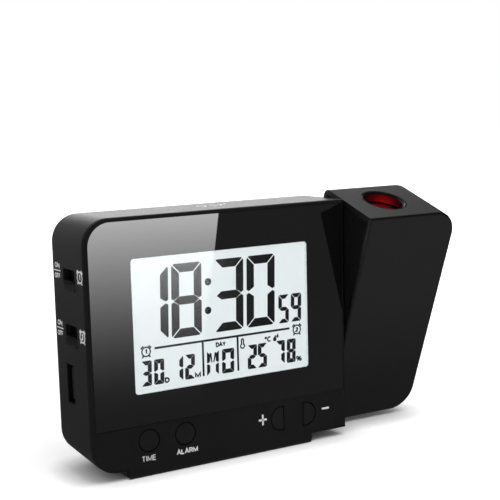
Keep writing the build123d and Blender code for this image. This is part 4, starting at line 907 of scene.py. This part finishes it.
class CLOCK_OT_date(bpy.types.Operator):
    """Set the date, the weekday, the temperature and the humidity along the display's foot"""

    bl_idname = "clock.date"
    bl_label = "Date and climate"

    def execute(self, context):
        display = context.scene.clock_display
        face = display_face()
        stroke = display.small_stroke
        parts = []
        for text, starts, width in (
            (display.day, (18.75, 23.5), 3.85), (display.month, (30.9, 35.5), 3.85),
            (display.temperature, (60.95, 65.2), 3.85), (display.humidity, (72.9, 77.65), 3.85),
            ("0", (50.3,), 4.95),
        ):
            parts += figures(face, text, starts, ROW_FOOT, (width, ROW_HEIGHT), stroke, ROW_GAP, DISPLAY_LAYER)
        # The weekday's M has four upright segments and two slants, and the 0 above is its O.
        parts += lit_segments(face, "bcef", (44.2, ROW_FOOT), (4.8, ROW_HEIGHT), stroke * 0.85, ROW_GAP,
                              DISPLAY_LAYER)
        for foot, head in ((46.3, 45.75), (47.05, 47.85)):
            slant = [(foot - 0.22, 33.0), (foot + 0.22, 33.0), (head + 0.42, 36.4), (head - 0.32, 36.4)]
            parts.append(plate(face, slant, DISPLAY_LAYER))
        for line in (
            [(24.1, 41.0), (79.1, 41.0)], [(42.85, 41.0 - RULE / 2), (42.85, 28.6)],
            [(57.0, 41.0 - RULE / 2), (57.0, 28.5)],
        ):
            parts.append(ribbon(face, line, RULE, DISPLAY_LAYER))
        for text, centre, size, stroke in (
            ("DAY", (50.1, 38.95), (4.1, 1.75), 0.48), ("D", (28.5, 29.35), (1.9, 2.0), 0.58),
            ("M", (40.55, 29.35), (2.4, 2.0), 0.56), ("%", (83.0, 29.4), (2.5, 2.05), 0.5),
            ("°C", (69.7, 38.2), (2.7, 2.05), 0.5),
        ):
            parts += word(face, text, centre, size, stroke, DISPLAY_LAYER)
        make_piece("date_figures", parts, bpy.data.materials["segment_dark"], "body")
        return {"FINISHED"}


class CLOCK_OT_marks(bpy.types.Operator):
    """Set the alarm, thermometer and drop marks on the display"""

    bl_idname = "clock.marks"
    bl_label = "Marks"

    def execute(self, context):
        face = display_face()
        parts = alarm_mark(face, (20.87, 40.2), "1", 1.6, 0.48, DISPLAY_LAYER)
        parts += alarm_mark(face, (82.3, 40.2), "2", 1.6, 0.48, DISPLAY_LAYER)
        thermometer = np.vstack([arc((59.0, 37.15), 0.8, 120, 420, 15), arc((59.0, 39.3), 0.4, 0, 180, 7)])
        parts.append(ribbon(face, thermometer, 0.52, DISPLAY_LAYER, closed=True))
        for centre, radius in (((72.65, 37.8), 0.75), ((73.8, 38.75), 0.5)):
            tip = np.add(centre, (0.45 * radius, 2.2 * radius))
            parts.append(plate(face, np.vstack([arc(centre, radius, 150, 390, 15), [tip]]), DISPLAY_LAYER))
        make_piece("display_marks", parts, bpy.data.materials["segment_dark"], "body")
        return {"FINISHED"}


class CLOCK_OT_legends(bpy.types.Operator):
    """Print the plain legends beside the buttons and the switches"""

    bl_idname = "clock.legends"
    bl_label = "Legends"

    def execute(self, context):
        ink = printed("legend_ink", context.scene.clock_finish.legend)
        front = face_of("front_panel", "front")
        parts = word(front, "TIME", (20.45, 3.3), (5.4, 1.95), 0.27, PRINT_LAYER)
        parts += word(front, "ALARM", (35.4, 3.3), (8.4, 1.9), 0.42, PRINT_LAYER)
        plus_and_minus = [(66.7, 7.0), (66.7, 10.95)], [(65.0, 8.98), (68.4, 8.98)], [(92.8, 8.9), (96.0, 8.9)]
        parts += [ribbon(front, line, 0.72, PRINT_LAYER) for line in plus_and_minus]
        make_piece("front_legends", parts, ink, "body")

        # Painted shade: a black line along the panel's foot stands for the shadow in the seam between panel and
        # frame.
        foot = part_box("front_panel")[0][2] / MM - BODY_BOTTOM_Z
        seam = ribbon(front, [(0.3, foot), (103.7, foot)], 0.3, SEAM_LAYER)
        make_piece("seam_shade", [seam], printed("painted_shade_black", (0.0003, 0.0003, 0.0003)), "body")

        side = face_of("rear_housing", "left")
        depth = (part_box("rear_housing")[1][1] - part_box("front_frame")[0][1]) / MM
        parts = []
        for number, middle in (("1", 67.0), ("2", 47.2)):
            parts += alarm_mark(side, (depth - 4.3, middle), number, 1.85, 0.55, PRINT_LAYER)
            parts += word(side, "ON", (depth - 22.4, middle + 2.35), (3.9, 1.8), 0.42, PRINT_LAYER)
            parts += word(side, "OFF", (depth - 22.4, middle - 1.25), (4.6, 1.8), 0.42, PRINT_LAYER)
            line = [(depth - 25.0, middle + 0.55), (depth - 19.8, middle + 0.55)]
            parts.append(ribbon(side, line, 0.4, PRINT_LAYER))
        make_piece("side_legends", parts, ink, "body")
        return {"FINISHED"}


class CLOCK_OT_touch_marks(bpy.types.Operator):
    """Print the lamp and snooze marks over the touch key on top"""

    bl_idname = "clock.touch_marks"
    bl_label = "Touch marks"

    def execute(self, context):
        top = face_of("rear_housing", "top")
        bulb = np.vstack([arc((53.2, 16.0), 1.55, -55, 235, 24), [(52.6, 13.9), (53.8, 13.9)]])
        parts = [
            ribbon(top, bulb, 0.4, PRINT_LAYER, closed=True),
            ribbon(top, [(52.65, 13.3), (53.75, 13.3)], 0.4, PRINT_LAYER),
            ribbon(top, [(57.6, 12.9), (57.6, 18.0)], 0.45, PRINT_LAYER),
        ]
        parts += word(top, "Z", (60.7, 15.0), (2.3, 3.0), 0.45, PRINT_LAYER)
        parts += word(top, "Z", (63.3, 17.0), (1.7, 1.9), 0.4, PRINT_LAYER)
        make_piece("touch_marks", parts, printed("touch_ink", (1.0, 1.0, 1.0)), "body")
        return {"FINISHED"}


def heads(node, up, *axes):
    """A face on each round head of a CAD node, turned to the back: the vertices farthest out, parted along each of
    the axes at their mean."""
    right = np.array((-1.0, 0.0, 0.0))
    points = np.array([vertex.co for vertex in nodes[node].data.vertices]) / MM
    reach = points @ np.cross(right, up)
    points = points[reach > reach.max() - 0.01]
    part = (points > points.mean(0))[:, axes] @ (1 << np.arange(len(axes)))
    return [Face(points[part == value].mean(0), right, up) for value in np.unique(part)]


class CLOCK_OT_drives(bpy.types.Operator):
    """Lay black crosses of painted shade on the heads of the screws that show at the back, standing for their cross
    recesses
    """

    bl_idname = "clock.drives"
    bl_label = "Screw recesses"

    def execute(self, context):
        shade = bpy.data.materials["painted_shade_black"]
        for name, node, up, axes, body in (
            ("housing_drive_shade", "housing_screws", (0, 0, 1), (0, 2), "body"),
            ("arm_drive_shade", "arm_screws", LAMP_AXIS, (2,), "arm"),
        ):
            cross = [ribbon(face, line, 0.6, RECESS_SHADE_LAYER) for face in heads(node, up, *axes)
                     for line in ([(-1.15, 0), (1.15, 0)], [(0, -1.15), (0, 1.15)])]
            make_piece(name, cross, shade, body)
        return {"FINISHED"}


class CLOCK_PT_panel(bpy.types.Panel):
    bl_label = "Clock"
    bl_idname = "CLOCK_PT_panel"
    bl_space_type = "VIEW_3D"
    bl_region_type = "UI"
    bl_category = "Clock"

    def draw(self, context):
        scene = context.scene
        for group in (scene.clock_display, scene.clock_finish, scene.clock_stage):
            column = self.layout.column(align=True)
            for key in group.__annotations__:
                column.prop(group, key)
        column = self.layout.column(align=True)
        for step in steps:
            column.operator(step.bl_idname)


steps = (
    CLOCK_OT_camera, CLOCK_OT_stage, CLOCK_OT_shells, CLOCK_OT_front, CLOCK_OT_inside, CLOCK_OT_projector,
    CLOCK_OT_time, CLOCK_OT_date, CLOCK_OT_marks, CLOCK_OT_legends, CLOCK_OT_touch_marks, CLOCK_OT_drives,
)
classes = (ClockDisplaySettings, ClockFinishSettings, ClockStageSettings) + steps + (CLOCK_PT_panel,)


def register():
    for item in classes:
        bpy.utils.register_class(item)
    bpy.types.Scene.clock_display = bpy.props.PointerProperty(type=ClockDisplaySettings)
    bpy.types.Scene.clock_finish = bpy.props.PointerProperty(type=ClockFinishSettings)
    bpy.types.Scene.clock_stage = bpy.props.PointerProperty(type=ClockStageSettings)


def unregister():
    del bpy.types.Scene.clock_stage
    del bpy.types.Scene.clock_finish
    del bpy.types.Scene.clock_display
    for item in reversed(classes):
        bpy.utils.unregister_class(item)


def main():
    register()
    bpy.ops.clock.camera()
    bpy.ops.clock.stage()
    bpy.ops.clock.shells()
    bpy.ops.clock.front()
    bpy.ops.clock.inside()
    bpy.ops.clock.projector()
    bpy.ops.clock.time()
    bpy.ops.clock.date()
    bpy.ops.clock.marks()
    bpy.ops.clock.legends()
    bpy.ops.clock.touch_marks()
    bpy.ops.clock.drives()


if __name__ == "__main__":
    main()
